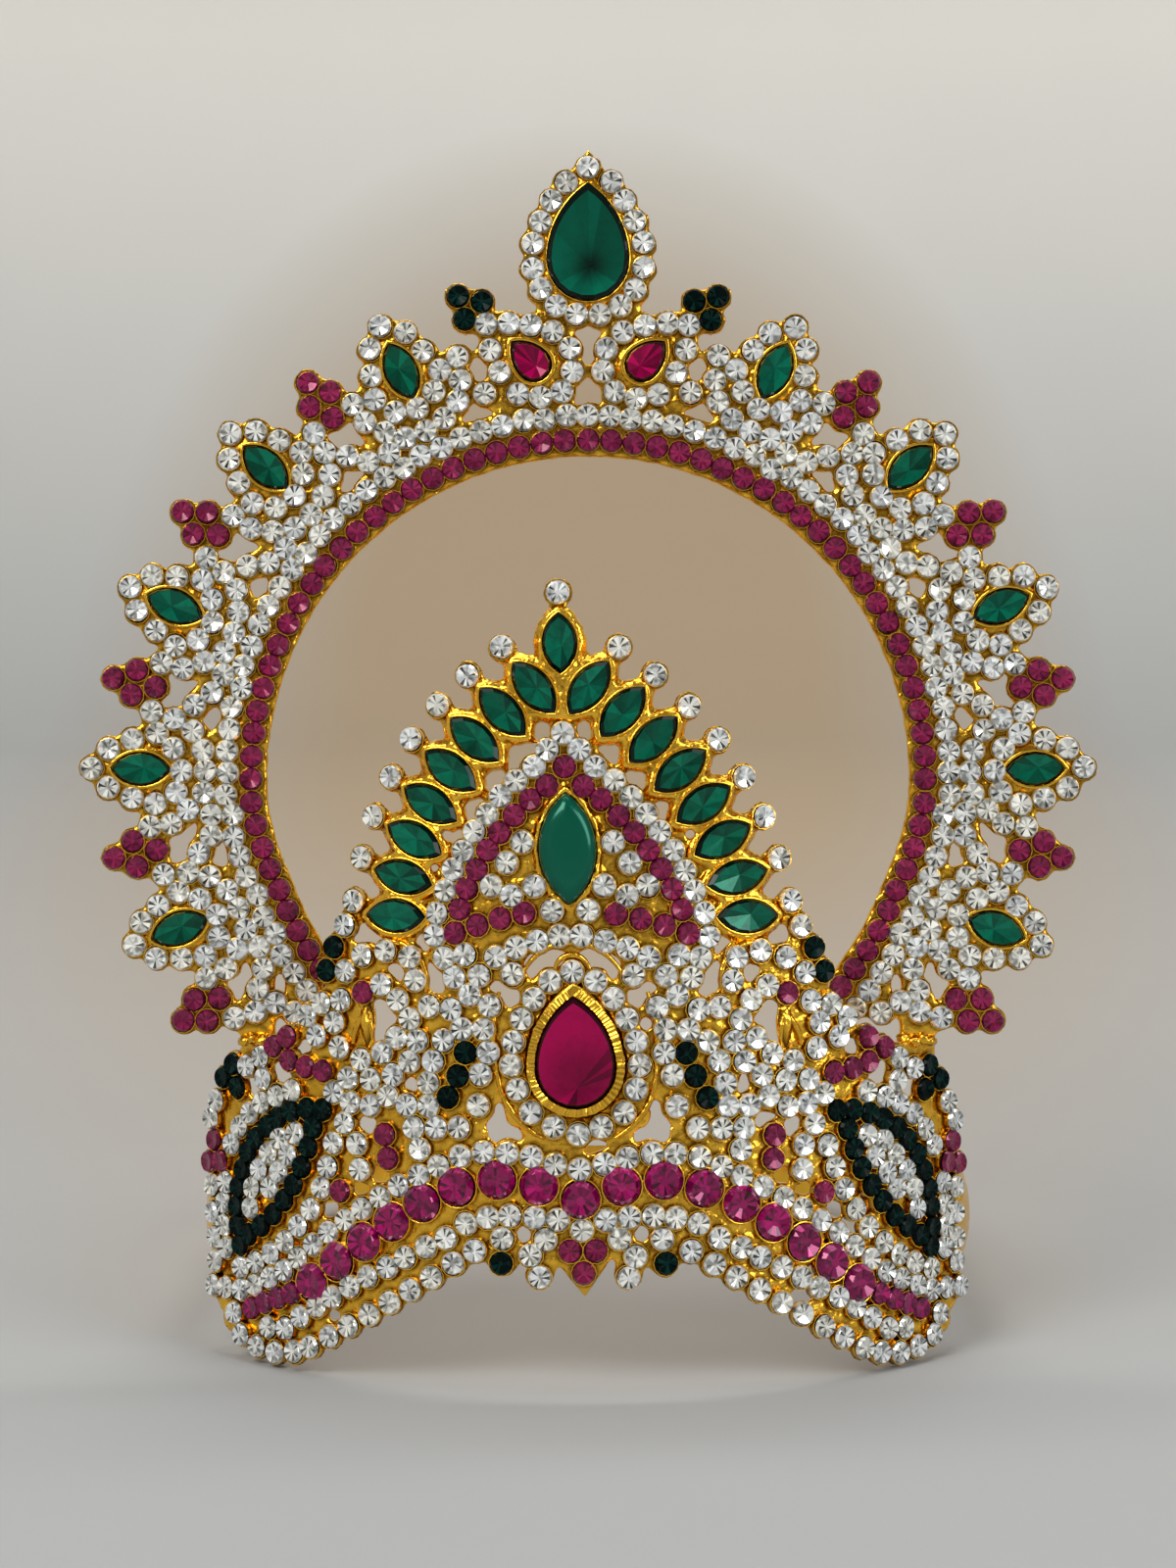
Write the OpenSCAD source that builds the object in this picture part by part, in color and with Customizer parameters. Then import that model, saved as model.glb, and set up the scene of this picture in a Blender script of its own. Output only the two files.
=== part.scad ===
// Stone-set deity crown in cast gold metal: a bent front plate with a pointed
// crest, a flat halo that stands behind it, and a plain strip that closes the
// head ring. It leans back a little and rests on its two lobes and the strip.
// Millimetres. +X to the right, the front looks towards -Y, +Z is up.
// Plate places are [distance round the bend, height]; halo places are flat.

/* [Resting] */
// Angle that the crown leans back when it rests by itself
lean = 6.5; // [5.5:0.25:7.5]

/* [Front plate] */
// Radius of the plate's front face
face_r = 60.6; // [59:0.2:63]
// Thickness of the plate
plate_t = 1.2; // [1:0.1:1.5]
// Sideways drift of the plate's ornament to the left for each millimetre of height
drift = 0.038; // [0:0.002:0.045]

/* [Halo] */
// Height of the centre of the halo's ring
ring_z = 73.5; // [73:0.1:74]
// Radius of the ring's inner edge
ring_in_r = 40.5; // [40:0.1:41]
// Radius of the row of small rubies
ruby_row_r = 42.5; // [42.3:0.1:42.7]
// Radius of the row of clear stones beside it
clear_row_r = 45.6; // [45.4:0.1:45.8]
// Distance of the halo's front face in front of the head ring's middle
halo_front = 43.7; // [43.3:0.1:44.2]
// Thickness of the halo
halo_t = 1.4; // [1.2:0.1:1.6]
// Angle between two petals
petal_pitch = 21.4; // [21.2:0.1:21.6]
// Angle of the first petal from the top
petal_start = 24.7; // [24.4:0.1:25]
// How far the halo's lower ends close in, as a part of their radius
end_pull = 0.026; // [0:0.002:0.03]

/* [Back band] */
// Height of the strip at its sides
band_h = 11.3; // [10:0.1:12]
// Height of the strip in the middle of the back
band_back_h = 6.4; // [5:0.1:11]
// Thickness of the strip
band_t = 1.2; // [1:0.1:1.4]
// Half the width of the head ring outside, across the strip
band_half = 49.9; // [49:0.1:50.5]
// Inside depth of the head ring, from the plate to the strip
ring_depth = 114.3; // [110:0.5:118]
// How far the strip's middle bulges out beyond its edges
band_dish = 1; // [0.6:0.1:1.2]

/* [Stones] */
// Diameter of the small round stones
small_d = 2.6; // [2.5:0.05:2.6]
// Height of the small round stones
small_h = 1.3; // [1:0.1:1.5]
// Diameter of the big band rubies
band_ruby_d = 4.4; // [4.2:0.1:4.5]
// Height of the big band rubies
band_ruby_h = 2.1; // [1.6:0.1:2.4]
// Clearance under and beside every stone
seat = 0.12; // [0.1:0.01:0.15]

/* [Hidden] */
$fn = 64;
ROW_FN = 12;          // sides of a stone's pad in the cast outlines
bezel_wall = 0.6;
bezel_h = 1;
sink = 0.5;           // how deep a bezel's foot reaches into the metal
pad_r = small_d / 2 + 0.55;
close_gap = 0.65;     // half the width of the widest crevice that the casting fills

// Sizes of the main stones: width, length
CREST_STONE = [4.1, 7.9];
CREST_TOP = [4.2, 7.3];
HALO_STONE = [4.2, 7.6];
CENTRE_STONE = [7, 13.6];
// Pears: width, distance of the tip from the middle of the round end
TOP_PEAR = [10.2, 9.6];
RUBY_PEAR = [9.8, 8.7];
SMALL_PEAR = [4.4, 4];
SIDES = [-1, 1];

// Places of the main stones
top_pear_z = 138.7;
ruby_pear_z = 38.2;
centre_stone_z = 64.8;
crest_top_z = 89.8;
small_pear_at = [6.8, 125.5];
small_pear_turn = 45;
petal_r = 56.3;
petals = 5;
cluster_r = 58.3;
tip_reach = 6.2;      // from a crest marquise's middle to its tip stone

// Columns of the row tables
FROM = 0;
TO = 1;
BULGE = 2;
COUNT = 3;

// Points evenly spaced along a circular arc; the bulge is positive to the left
// of the way from the first point to the last
function arc_row(a, b, bulge, n) =
    let (c = norm(b - a), d = (b - a) / c, side = [-d.y, d.x])
    n == 1 ? [a] :
    bulge == 0 ? [for (i = [0:n - 1]) a + (b - a) * i / (n - 1)] :
    let (r = (c * c / 4 + bulge * bulge) / (2 * bulge), half = asin(c / 2 / r))
    [for (i = [0:n - 1]) let (t = half * (2 * i / (n - 1) - 1))
        (a + b) / 2 + d * r * sin(t) + side * (r * cos(t) - r + bulge)];
function rows(table) = [for (r = table) each arc_row(r[FROM], r[TO], r[BULGE], r[COUNT])];
function both_sides(points) = [for (s = SIDES, p = points) [s * p.x, p.y]];

// Crest marquises: middles along the pointed arch, and how far each one turns
CREST_AT = arc_row([3.3, 84.4], [21.8, 56.5], 3.4, 8);
function crest_ray(i) = 38 + 5 * i;
function crest_turn(i) = crest_ray(i) + 8 * max(0, i - 5);
function crest_tip(i) = CREST_AT[i] + tip_reach * [sin(crest_ray(i)), cos(crest_ray(i))];

// Clear stones of the plate, right half: from, to, bulge, count
PLATE_CLEAR = [
    [[1.8, 76.4], [16.1, 57], 1.5, 10],
    [[16.3, 54.2], [10.2, 45.6], 1.5, 5],
    [[13, 51.8], [11.4, 49.3], 0, 2],
    [[1.3, 54.2], [9.3, 51.6], 0.3, 4],
    [[7.3, 49.4], [7.3, 49.4], 0, 1],
    [[5.5, 65.6], [9.4, 60.5], 0.2, 3],
    [[4.2, 60.3], [6.9, 58.6], 0, 2],
    [[2.2, 57.3], [2.2, 57.3], 0, 1],
    [[9.6, 57.7], [9.6, 57.7], 0, 1],
    [[2.7, 48.7], [7.8, 38.4], 1.3, 5],
    [[7.1, 35.5], [2.9, 31], 0.8, 3],
    [[11.1, 42.8], [13.9, 42.6], 0, 2],
    [[11, 40], [11, 40], 0, 1],
    [[15.1, 45.2], [17.9, 45.5], 0, 2],
    [[16.2, 41.2], [18.4, 33.4], 0.7, 4],
    [[12, 37.2], [14.6, 30.7], -1.3, 3],
    [[17.5, 30.6], [20.4, 30.5], 0, 2],
    [[21.2, 33.3], [21.2, 33.3], 0, 1],
    [[19.6, 48.7], [19.6, 48.7], 0, 1],
    [[20.2, 51.4], [29.3, 49.5], 1.6, 4],
    [[24, 47.8], [19.7, 41.4], -0.8, 4],
    [[29.9, 46], [35.1, 43.8], 0.6, 3],
    [[31.7, 43.1], [31.1, 39.9], -2, 3],
    [[33.8, 41.4], [33.8, 41.4], 0, 1],
    [[24.3, 39.7], [27.3, 38.7], 0, 2],
    [[22.4, 41.5], [22.4, 41.5], 0, 1],
    [[20.7, 38.8], [20.7, 38.8], 0, 1],
    [[23, 37], [29.2, 36.3], -0.3, 3],
    [[23.8, 34.2], [31.4, 34.2], -1.1, 4],
    [[29.9, 30.9], [29.9, 30.9], 0, 1],
    [[29, 55.2], [29, 55.2], 0, 1],
    [[42.8, 38.6], [42.9, 35.9], 0, 2],
    [[46.1, 37.1], [46.1, 37.1], 0, 1],
    [[35.3, 33.9], [50.7, 16.8], 6, 11],
    [[31.7, 28.2], [48, 11.6], -3.3, 9],
    [[37.9, 29.1], [43.2, 19.9], -0.3, 5],
    [[40.6, 28.3], [45.5, 19.6], 1.2, 5],
    [[3, 26.4], [14.6, 27.2], 0.9, 5],
    [[17.3, 26], [40, 11.8], 0.8, 10],
    [[42.3, 10.3], [54, 8.8], -0.6, 5],
    [[3, 19.5], [14.2, 19.1], 0.8, 5],
    [[16.8, 17.2], [40.2, 4.8], 0.3, 10],
    [[43, 4.5], [52.4, 7.5], -0.9, 4],
    [[13.2, 15.8], [36.2, 2.7], -0.3, 9],
    [[38.9, 1.8], [50.9, 4.8], -1.4, 5],
    [[53.2, 12], [53.6, 21.4], 0.4, 4],
    [[50.7, 13.9], [50.7, 13.9], 0, 1],
    [[52.4, 32.2], [53.4, 29.8], 0, 2],
    [[28.3, 28.3], [28, 25.2], 0, 2],
    [[4.6, 17.3], [5.4, 12.9], 1.1, 3],
    [[9.7, 17.3], [9.7, 17.3], 0, 1],
    [[19.9, 28.2], [19.9, 28.2], 0, 1]
];
// Small triangular gaps between the crest's petals, right half: across, height, size
CREST_GAP = [[11.8, 69.7, 0.75], [15.2, 66.3, 1.1], [16.8, 62.3, 0.9], [17.4, 58.4, 0.7]];
// Webs of bare metal in the plate, right half
PLATE_WEB = [[8.5, 35.6], [7.1, 32.4], [5.1, 30.2], [4.6, 29], [12.9, 30], [11.9, 33.2], [16.6, 28.4], [22.6, 28.2],
    [50.1, 30.8], [50.4, 28.4]];
// Clear stones on the plate's middle line: heights
PLATE_CLEAR_MIDDLE = [96, 78.8, 49.8, 30.1, 25.8, 18.5];
// Single rubies and ruby chains of the plate, right half: from, to, bulge, count
PLATE_RUBY = [
    [[26.8, 47], [26.8, 47], 0, 1],
    [[38.4, 41.1], [40.9, 39.8], 0, 2],
    [[38.3, 38.2], [33, 37.1], 0.2, 3],
    [[24.4, 29.6], [24.1, 26.7], 0, 2],
    [[31, 22.3], [31, 22.3], 0, 1],
    [[53, 27.3], [51.7, 24.8], 0, 2],
    [[54.3, 24.5], [54.3, 24.5], 0, 1],
    [[1.5, 15.9], [1.5, 15.9], 0, 1]
];
// Rubies of the crest's triangle, right half: from, to, bulge, count
CREST_RUBY = [
    [[2.2, 72.5], [13.6, 57.4], 1.3, 8],
    [[14.2, 54.5], [5.6, 56.9], -0.2, 4]
];
crest_ruby_top = [0, 74.8];
// Small rubies that end the band, right half
BAND_END_RUBY = [[[39.4, 9], [45.2, 7], 0, 3]];
// Dark green stones round the leaf, right half
LEAF_DARK = [
    [[33.2, 32.3], [48, 14.4], 6, 10],
    [[34.9, 29.7], [45.7, 16.5], -2, 6]
];
// The other dark green stones of the plate, right half
PLATE_DARK = [
    [[13.5, 39.9], [15.9, 34.4], -0.2, 3],
    [[30.7, 52.5], [32, 49.6], 0, 2],
    [[48.7, 37.2], [50.8, 35.4], 0, 2],
    [[47.8, 34.2], [47.8, 34.2], 0, 1],
    [[10, 14.3], [10, 14.3], 0, 1]
];
// Big rubies along the band, right half, and the one in the middle
BAND_RUBY = [
    [[5, 23.8], [15.1, 23.4], 0.9, 3],
    [[19.7, 21.4], [35.6, 10.7], 0.3, 5]
];
band_ruby_middle = [0, 22.2];

// Stones of one petal: angle from the petal's middle, radius
PETAL = [
    [0, 62.5], [-2.3, 60.5], [2.3, 60.5], [-3.6, 57.6], [3.7, 57.5],
    [-4.7, 54.6], [4.7, 54.6], [-7.5, 55.5], [7.5, 55.5], [-6.9, 52.6],
    [7.2, 52.6], [-2.9, 52.4], [0.2, 51.2], [3.1, 52], [5.8, 50.2],
    [-5.3, 50], [-2.5, 48.7], [0.6, 48.2], [3.7, 48.5], [6.8, 47.9],
    [9.6, 48.6], [-9.7, 50.1]
];
// Stones of a ruby cluster: sideways and outward from its middle
CLUSTER = [[0, 2.75], [-1.6, 0.1], [1.6, 0.1], [0, -2.65]];
// Stones that end the halo: angle from the top, radius
HALO_END = [[124.2, 55.2], [125.1, 52.5], [125.8, 49.8], [122.9, 50.9], [128.5, 48.7]];
// Clear stones over the ring, right half: from, to, bulge, count
HALO_TOP = [
    [[2.8, 148.5], [6.95, 140.8], 0.5, 4],
    [[6.95, 137.7], [1.45, 131.8], 1.3, 4],
    [[4.4, 129.6], [12.9, 130.6], 0.5, 4],
    [[2.3, 127.5], [1.9, 124.7], 0, 2],
    [[3.3, 122.1], [8.9, 121.8], -0.8, 3],
    [[11.1, 124.5], [12.3, 127.4], 0, 2],
    [[11.9, 121.5], [11.9, 121.5], 0, 1]
];
halo_top_stone = [0, 150.3];
// Dark green stones beside the small pears, right half
HALO_DARK = [[13.4, 133.5], [16.4, 134.1], [15.5, 131.2]];
halo_tip_z = 152.8;
ruby_row_n = 67;
ruby_row_end = 129.6;
clear_row_n = 77;
clear_row_end = 130.4;

// Tabs where the halo is soldered to the plate, in the front view
tab_x = [39.4, 43.9];
tab_z = 40.4;
tab_gap = 0.1;
tab_top = 43.5;

// Where the strip bends away from the plate
foot_r = face_r - plate_t - 0.1;
bend_r = 20;
foot_turn = asin((band_half - bend_r) / (foot_r - bend_r));
foot_span = 14;
bend_y = -(foot_r - bend_r) * cos(foot_turn);
band_back = ring_depth - face_r + plate_t + band_t;
band_round_y = band_back - band_half;
dish_r = (band_h * band_h / 4 + band_dish * band_dish) / (2 * band_dish);

// The resting height follows from the lobes' lowest pads, and the strip's
// height from the lean, so that both touch the same surface
function turn_at(u) = u / face_r * 180 / PI;
function resting_z(y, z) = z * cos(lean) - y * sin(lean);
lobe_row = arc_row(PLATE_CLEAR[44][FROM], PLATE_CLEAR[44][TO], PLATE_CLEAR[44][BULGE], 13);
lobe_low = min([for (p = lobe_row)
    resting_z(-(face_r - plate_t) * cos(turn_at(p.x)), p.y - pad_r)]);
band_low_z = (lobe_low + (band_back - band_dish) * sin(lean)) / cos(lean);
front_reach = (face_r + seat + band_ruby_h) * cos(lean) - band_ruby_middle.y * sin(lean);
back_reach = band_back * cos(lean) + (band_low_z + band_h / 2) * sin(lean);
stand_y = (front_reach - back_reach) / 2;

GREEN_CREST = [for (i = [1:17]) str("crest_green_marquise_", i)];
GREEN_HALO = [for (i = [1:10]) str("halo_green_marquise_", i)];

// Outlines of the cut stones
function round_points(d, n) = [for (i = [0:n - 1]) d / 2 * [cos(360 * i / n), sin(360 * i / n)]];
function marquise_points(w, l, n) =
    let (r = (l * l + w * w) / (4 * w), half = asin(l / 2 / r))
    concat(
        [for (i = [0:n - 1]) let (t = half * (2 * i / n - 1)) [w / 2 - r + r * cos(t), r * sin(t)]],
        [for (i = [0:n - 1]) let (t = half * (1 - 2 * i / n)) [r - w / 2 - r * cos(t), r * sin(t)]]);
function pear_points(w, tip, n) =
    let (r = (tip * tip + w * w / 4) / w, half = asin(tip / r))
    concat(
        [for (i = [0:n]) w / 2 * [cos(180 + 180 * i / n), sin(180 + 180 * i / n)]],
        [for (i = [1:n]) let (t = half * i / n) [w / 2 - r + r * cos(t), r * sin(t)]],
        [for (i = [1:n - 1]) let (t = half * (1 - i / n)) [r - w / 2 - r * cos(t), r * sin(t)]]);

module marquise(w, l) polygon(marquise_points(w, l, 6));
module pear(w, tip) polygon(pear_points(w, tip, 8));

// A cut stone: flat back, upright girdle, one slanting facet for each side, and a table
module cut_stone(outline, girdle, h, table) {
    n = len(outline);
    layers = concat(
        girdle > 0 ? [[0, 1]] : [],
        [[girdle, 1], [h, table]]);
    points = [for (layer = layers, p = outline) [p.x * layer[1], p.y * layer[1], layer[0]]];
    walls = [for (k = [0:len(layers) - 2], i = [0:n - 1])
        [k * n + i, (k + 1) * n + i, (k + 1) * n + (i + 1) % n, k * n + (i + 1) % n]];
    last = (len(layers) - 1) * n;
    polyhedron(points, concat([[for (i = [0:n - 1]) i]], walls,
        [[for (i = [0:n - 1]) last + n - 1 - i]]));
}

module small_stone() cut_stone(round_points(small_d, 10), 0, small_h, 0.5);
module band_ruby() cut_stone(round_points(band_ruby_d, 10), 0.5, band_ruby_h, 0.5);
module marquise_stone(size) cut_stone(marquise_points(size.x, size.y, 6), 0.7, 1.9, 0.45);
module pear_stone(size, h) cut_stone(pear_points(size.x, size.y, 6), h * 0.35, h, 0.5);

module marquise_bezel(size) bezel() marquise_pair(size);
module marquise_pair(size) {
    w = size.x + 2 * seat;
    l = size.y + 2 * seat;
    difference() {
        marquise(w + 2 * bezel_wall, l + 3 * bezel_wall);
        marquise(w, l);
    }
}
module pear_pair(size, wall) {
    w = size.x + 2 * seat;
    tip = size.y + 2 * seat;
    difference() {
        pear(w + 2 * wall, tip + 1.5 * wall);
        pear(w, tip);
    }
}
module bezel(h = bezel_h) translate([0, 0, -sink]) linear_extrude(h + sink) children();

// The crown as it rests
module resting() translate([0, stand_y, -lobe_low]) rotate([-lean, 0, 0]) children();

// A place on the plate's face: x drifts with the height, z of the child is outward
function drifted(p) = [p.x - drift * p.y, p.y];
function drifted_turn(t) = atan2(sin(t) - drift * cos(t), cos(t));
module at_plate(p, turn = 0, lift = 0) {
    q = drifted(p);
    rotate([0, 0, turn_at(q.x)]) translate([0, -face_r - lift, q.y])
        rotate([90, 0, 0]) rotate([0, 0, -drifted_turn(turn)]) children();
}
module on_plate(p, turn = 0, lift = 0) resting() at_plate(p, turn, lift) children();

// The same place in the plate's front view, where the bend narrows what it holds
module in_plate_view(p, turn = 0) {
    q = drifted(p);
    translate([face_r * sin(turn_at(q.x)), q.y]) scale([cos(turn_at(q.x)), 1])
        rotate(-drifted_turn(turn)) children();
}
// The casting's web: it fills crevices and drops slivers
module cast_outline() offset(delta = 0.1) offset(delta = -close_gap - 0.1)
    offset(delta = close_gap) children();
module plate_pads(points, r) for (p = points) in_plate_view(p) circle(r, $fn = ROW_FN);

// A place on the halo's front face
module on_halo(p, turn = 0, lift = 0) resting()
    translate([p.x, -halo_front - lift, p.y]) rotate([90, 0, 0]) rotate([0, 0, -turn]) children();
function closing(a) = 1 - end_pull * min(1, max(0, (abs(a) - 95) / 15));
function polar(a, r) = [r * closing(a) * sin(a), ring_z + r * closing(a) * cos(a)];
module halo_pads(points, r) for (p = points) translate(p) circle(r, $fn = ROW_FN);

// Places that several modules share
function petal_angle(i) = petal_start + petal_pitch * i;
PETAL_STONES = both_sides([for (i = [0:petals - 1], s = PETAL) polar(petal_angle(i) + s[0], s[1])]);
CLUSTER_STONES = both_sides([for (i = [0:petals - 1], c = CLUSTER)
    let (a = petal_angle(i) + petal_pitch / 2)
    polar(a, cluster_r) + c.x * [cos(a), -sin(a)] + c.y * [sin(a), cos(a)]]);
RUBY_ROW = [for (i = [0:ruby_row_n - 1])
    polar(ruby_row_end * (2 * i / (ruby_row_n - 1) - 1), ruby_row_r)];
CLEAR_ROW = [for (i = [0:clear_row_n - 1])
    polar(clear_row_end * (2 * i / (clear_row_n - 1) - 1), clear_row_r)];
PLATE_DARK_STONES = both_sides(rows(PLATE_DARK));
CREST_RUBIES = concat([crest_ruby_top], both_sides(rows(CREST_RUBY)));
BIG_RUBIES = concat([band_ruby_middle], both_sides(rows(BAND_RUBY)));
BAND_END_RUBIES = both_sides(rows(BAND_END_RUBY));

module crest_petal() {
    marquise(CREST_STONE.x + 2.5, CREST_STONE.y + 2.9);
    translate([-0.9, 3]) square([1.8, tip_reach - 3]);
}
module plate_outline() {
    difference() {
        plate_web();
        for (s = SIDES, g = CREST_GAP) in_plate_view([s * g[0], g[1]])
            scale([s * g[2], g[2]]) polygon([[-0.85, 0.75], [0.85, 0.85], [-0.05, -1.6]]);
        // the plate stops under the halo's tabs
        for (s = SIDES) translate([s * (tab_x[0] + tab_x[1]) / 2 - (tab_x[1] - tab_x[0]) / 2 - 0.15, tab_z])
            square([tab_x[1] - tab_x[0] + 0.3, 2]);
    }
    // the bezels keep their whole footing beside the gaps
    for (s = SIDES, i = [0:len(CREST_AT) - 1])
        in_plate_view([s * CREST_AT[i].x, CREST_AT[i].y], s * crest_turn(i))
            marquise(CREST_STONE.x + 1.5, CREST_STONE.y + 2.1);
}
module plate_web() cast_outline() {
    plate_pads(both_sides(rows(concat(PLATE_CLEAR, PLATE_RUBY))), pad_r);
    plate_pads([for (z = PLATE_CLEAR_MIDDLE) [0, z]], pad_r);
    plate_pads(concat(CREST_RUBIES, PLATE_DARK_STONES, BAND_END_RUBIES), pad_r);
    plate_pads(both_sides(rows(LEAF_DARK)), pad_r);
    plate_pads(concat(both_sides(PLATE_WEB), [[0, 13.2]]), pad_r);
    plate_pads(BIG_RUBIES, band_ruby_d / 2 + 1.2);
    for (s = SIDES, i = [0:len(CREST_AT) - 1]) {
        plate_pads([[s * crest_tip(i).x, crest_tip(i).y]], pad_r);
        in_plate_view([s * CREST_AT[i].x, CREST_AT[i].y], s * crest_turn(i))
            crest_petal();
    }
    in_plate_view([0, crest_top_z]) marquise(CREST_TOP.x + 2.4, CREST_TOP.y + 3);
    in_plate_view([0, centre_stone_z]) marquise(CENTRE_STONE.x + 3, CENTRE_STONE.y + 3);
    in_plate_view([0, ruby_pear_z]) pear(RUBY_PEAR.x + 5, RUBY_PEAR.y + 4);
    // the gold bud between two gaps in each wing
    for (s = SIDES) in_plate_view([s * 26.6, 43.4]) marquise(2.6, 7);
    // the pointed shield under the middle rubies
    in_plate_view([0, 0]) polygon([[-3.6, 15], [0, 10.2], [3.6, 15]]);
    // the halo's tabs stand on these ears
    for (s = SIDES) translate([s * (tab_x[0] + tab_x[1]) / 2 - (tab_x[1] - tab_x[0]) / 2, 36])
        square([tab_x[1] - tab_x[0], tab_z - 36]);
}

module front_plate() color("goldenrod") resting() intersection() {
    rotate([90, 0, 0]) linear_extrude(face_r + 4) plate_outline();
    union() {
        translate([0, 0, -2]) difference() {
            cylinder(r = face_r, h = 104, $fn = 180);
            translate([0, 0, -1]) cylinder(r = face_r - plate_t, h = 106, $fn = 180);
        }
        for (s = SIDES, i = [0:len(CREST_AT) - 1])
            at_plate([s * CREST_AT[i].x, CREST_AT[i].y], s * crest_turn(i))
                marquise_bezel(CREST_STONE);
        at_plate([0, crest_top_z]) marquise_bezel(CREST_TOP);
        at_plate([0, centre_stone_z]) marquise_bezel(CENTRE_STONE);
        at_plate([0, ruby_pear_z]) bezel(1.8) pear_pair(RUBY_PEAR, 1);
    }
}

module halo_outline() difference() {
    halo_web();
    // a slot near each end of the ring
    for (s = SIDES) translate([s * 38.9, 47.2]) scale([0.65, 1.6]) circle(1, $fn = ROW_FN);
}
module halo_web() cast_outline() {
    halo_pads(concat(PETAL_STONES, CLUSTER_STONES, CLEAR_ROW), pad_r);
    halo_pads(both_sides([for (e = HALO_END) polar(e[0], e[1])]), pad_r);
    halo_pads(both_sides(rows(HALO_TOP)), pad_r);
    halo_pads(concat([halo_top_stone], both_sides(HALO_DARK)), pad_r);
    for (s = SIDES, i = [0:petals - 1]) translate(polar(s * petal_angle(i), petal_r))
        rotate(-s * petal_angle(i)) marquise(HALO_STONE.x + 2.4, HALO_STONE.y + 3);
    for (s = SIDES) translate([s * small_pear_at.x, small_pear_at.y])
        rotate(-s * small_pear_turn) pear(SMALL_PEAR.x + 2.4, SMALL_PEAR.y + 2.4);
    translate([0, top_pear_z]) pear(TOP_PEAR.x + 4, TOP_PEAR.y + 3);
    polygon([[-2.2, 150], [0, halo_tip_z], [2.2, 150]]);
    translate([0, ring_z]) intersection() {
        difference() {
            circle(clear_row_r + 1, $fn = 144);
            circle(ring_in_r - 2, $fn = 144);
        }
        polygon(concat([[0, 0]], [for (a = [-clear_row_end:clear_row_end / 6:clear_row_end])
            70 * [sin(a), cos(a)]]));
    }
    for (s = SIDES) translate([s * (tab_x[0] + tab_x[1]) / 2 - (tab_x[1] - tab_x[0]) / 2, tab_z + tab_gap])
        square([tab_x[1] - tab_x[0], tab_top - tab_z]);
}

module halo() color("goldenrod") {
    resting() translate([0, -halo_front + halo_t, 0]) difference() {
        rotate([90, 0, 0]) linear_extrude(halo_t) halo_outline();
        translate([0, 1, 0]) rotate([90, 0, 0]) linear_extrude(halo_t + 2)
            polygon([for (a = [-150:2:150]) polar(a, ring_in_r)]);
    }
    for (s = SIDES, i = [0:petals - 1])
        on_halo(polar(s * petal_angle(i), petal_r), s * petal_angle(i)) marquise_bezel(HALO_STONE);
    for (s = SIDES)
        on_halo([s * small_pear_at.x, small_pear_at.y], s * small_pear_turn)
            bezel() pear_pair(SMALL_PEAR, bezel_wall);
    on_halo([0, top_pear_z]) bezel(1.5) pear_pair(TOP_PEAR, bezel_wall);
}

// Section of the strip, its outermost line at x = 0
module band_section() intersection() {
    difference() {
        translate([-dish_r, 0]) circle(dish_r, $fn = 180);
        translate([-dish_r, 0]) circle(dish_r - band_t, $fn = 180);
    }
    translate([-band_t - 2 * band_dish, -band_h / 2]) square([band_t + 3 * band_dish, band_h]);
}

// One bend of the strip, round the origin
module band_arc(r, from, span) rotate([0, 0, from]) rotate_extrude(angle = span, $fn = 180)
    translate([r, 0]) band_section();
module band_straight() rotate([90, 0, 0]) linear_extrude(band_round_y - bend_y) band_section();

// One side of the strip, from the round back to the foot inside the plate
module band_side() {
    translate([band_half, band_round_y, 0]) band_straight();
    translate([band_half - bend_r, bend_y, 0]) band_arc(bend_r, foot_turn - 90, 90 - foot_turn);
    // the foot laps the bend by half a degree, a solder joint's step further in
    band_arc(foot_r - 0.06, foot_turn - foot_span - 90, foot_span + 0.5);
}

// The strip's height, seen from its side: it tapers from the round back's ends
module band_profile() rotate([90, 0, 90]) linear_extrude(2 * band_half + 4, center = true)
    polygon([
        [-1, -band_h], [band_back + 1, -band_h],
        [band_back + 1, band_back_h - band_h / 2 - 0.1],
        [band_round_y, band_h / 2], [band_round_y, band_h], [-1, band_h]
    ]);

module back_band() color("gold") resting() translate([0, 0, band_low_z + band_h / 2]) {
    intersection() {
        translate([0, band_round_y, 0]) band_arc(band_half, 0, 180);
        band_profile();
    }
    band_side();
    mirror([1, 0, 0]) band_side();
}

module on_plate_stones(points) for (p = points) on_plate(p, lift = seat) small_stone();
module on_halo_stones(points) for (p = points) on_halo(p, lift = seat) small_stone();

module crest_green_marquise(i) color("seagreen")
    if (i == 0) on_plate([0, crest_top_z], lift = seat) marquise_stone(CREST_TOP);
    else {
        s = i % 2 == 1 ? -1 : 1;
        k = floor((i - 1) / 2);
        on_plate([s * CREST_AT[k].x, CREST_AT[k].y], s * crest_turn(k), seat)
            marquise_stone(CREST_STONE);
    }
module halo_green_marquise(i) {
    s = i % 2 == 0 ? -1 : 1;
    a = s * petal_angle(floor(i / 2));
    color("seagreen") on_halo(polar(a, petal_r), a, seat) marquise_stone(HALO_STONE);
}
module top_green_pear() color("seagreen")
    on_halo([0, top_pear_z], lift = seat) pear_stone(TOP_PEAR, 3.2);
module centre_ruby_pear() color("crimson")
    on_plate([0, ruby_pear_z], lift = seat) pear_stone(RUBY_PEAR, 3.4);
module small_ruby_pear(s) color("crimson")
    on_halo([s * small_pear_at.x, small_pear_at.y], s * small_pear_turn, seat)
        pear_stone(SMALL_PEAR, 2.2);
module centre_green_marquise() color("seagreen")
    on_plate([0, centre_stone_z], lift = seat) marquise_stone(CENTRE_STONE);

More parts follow.
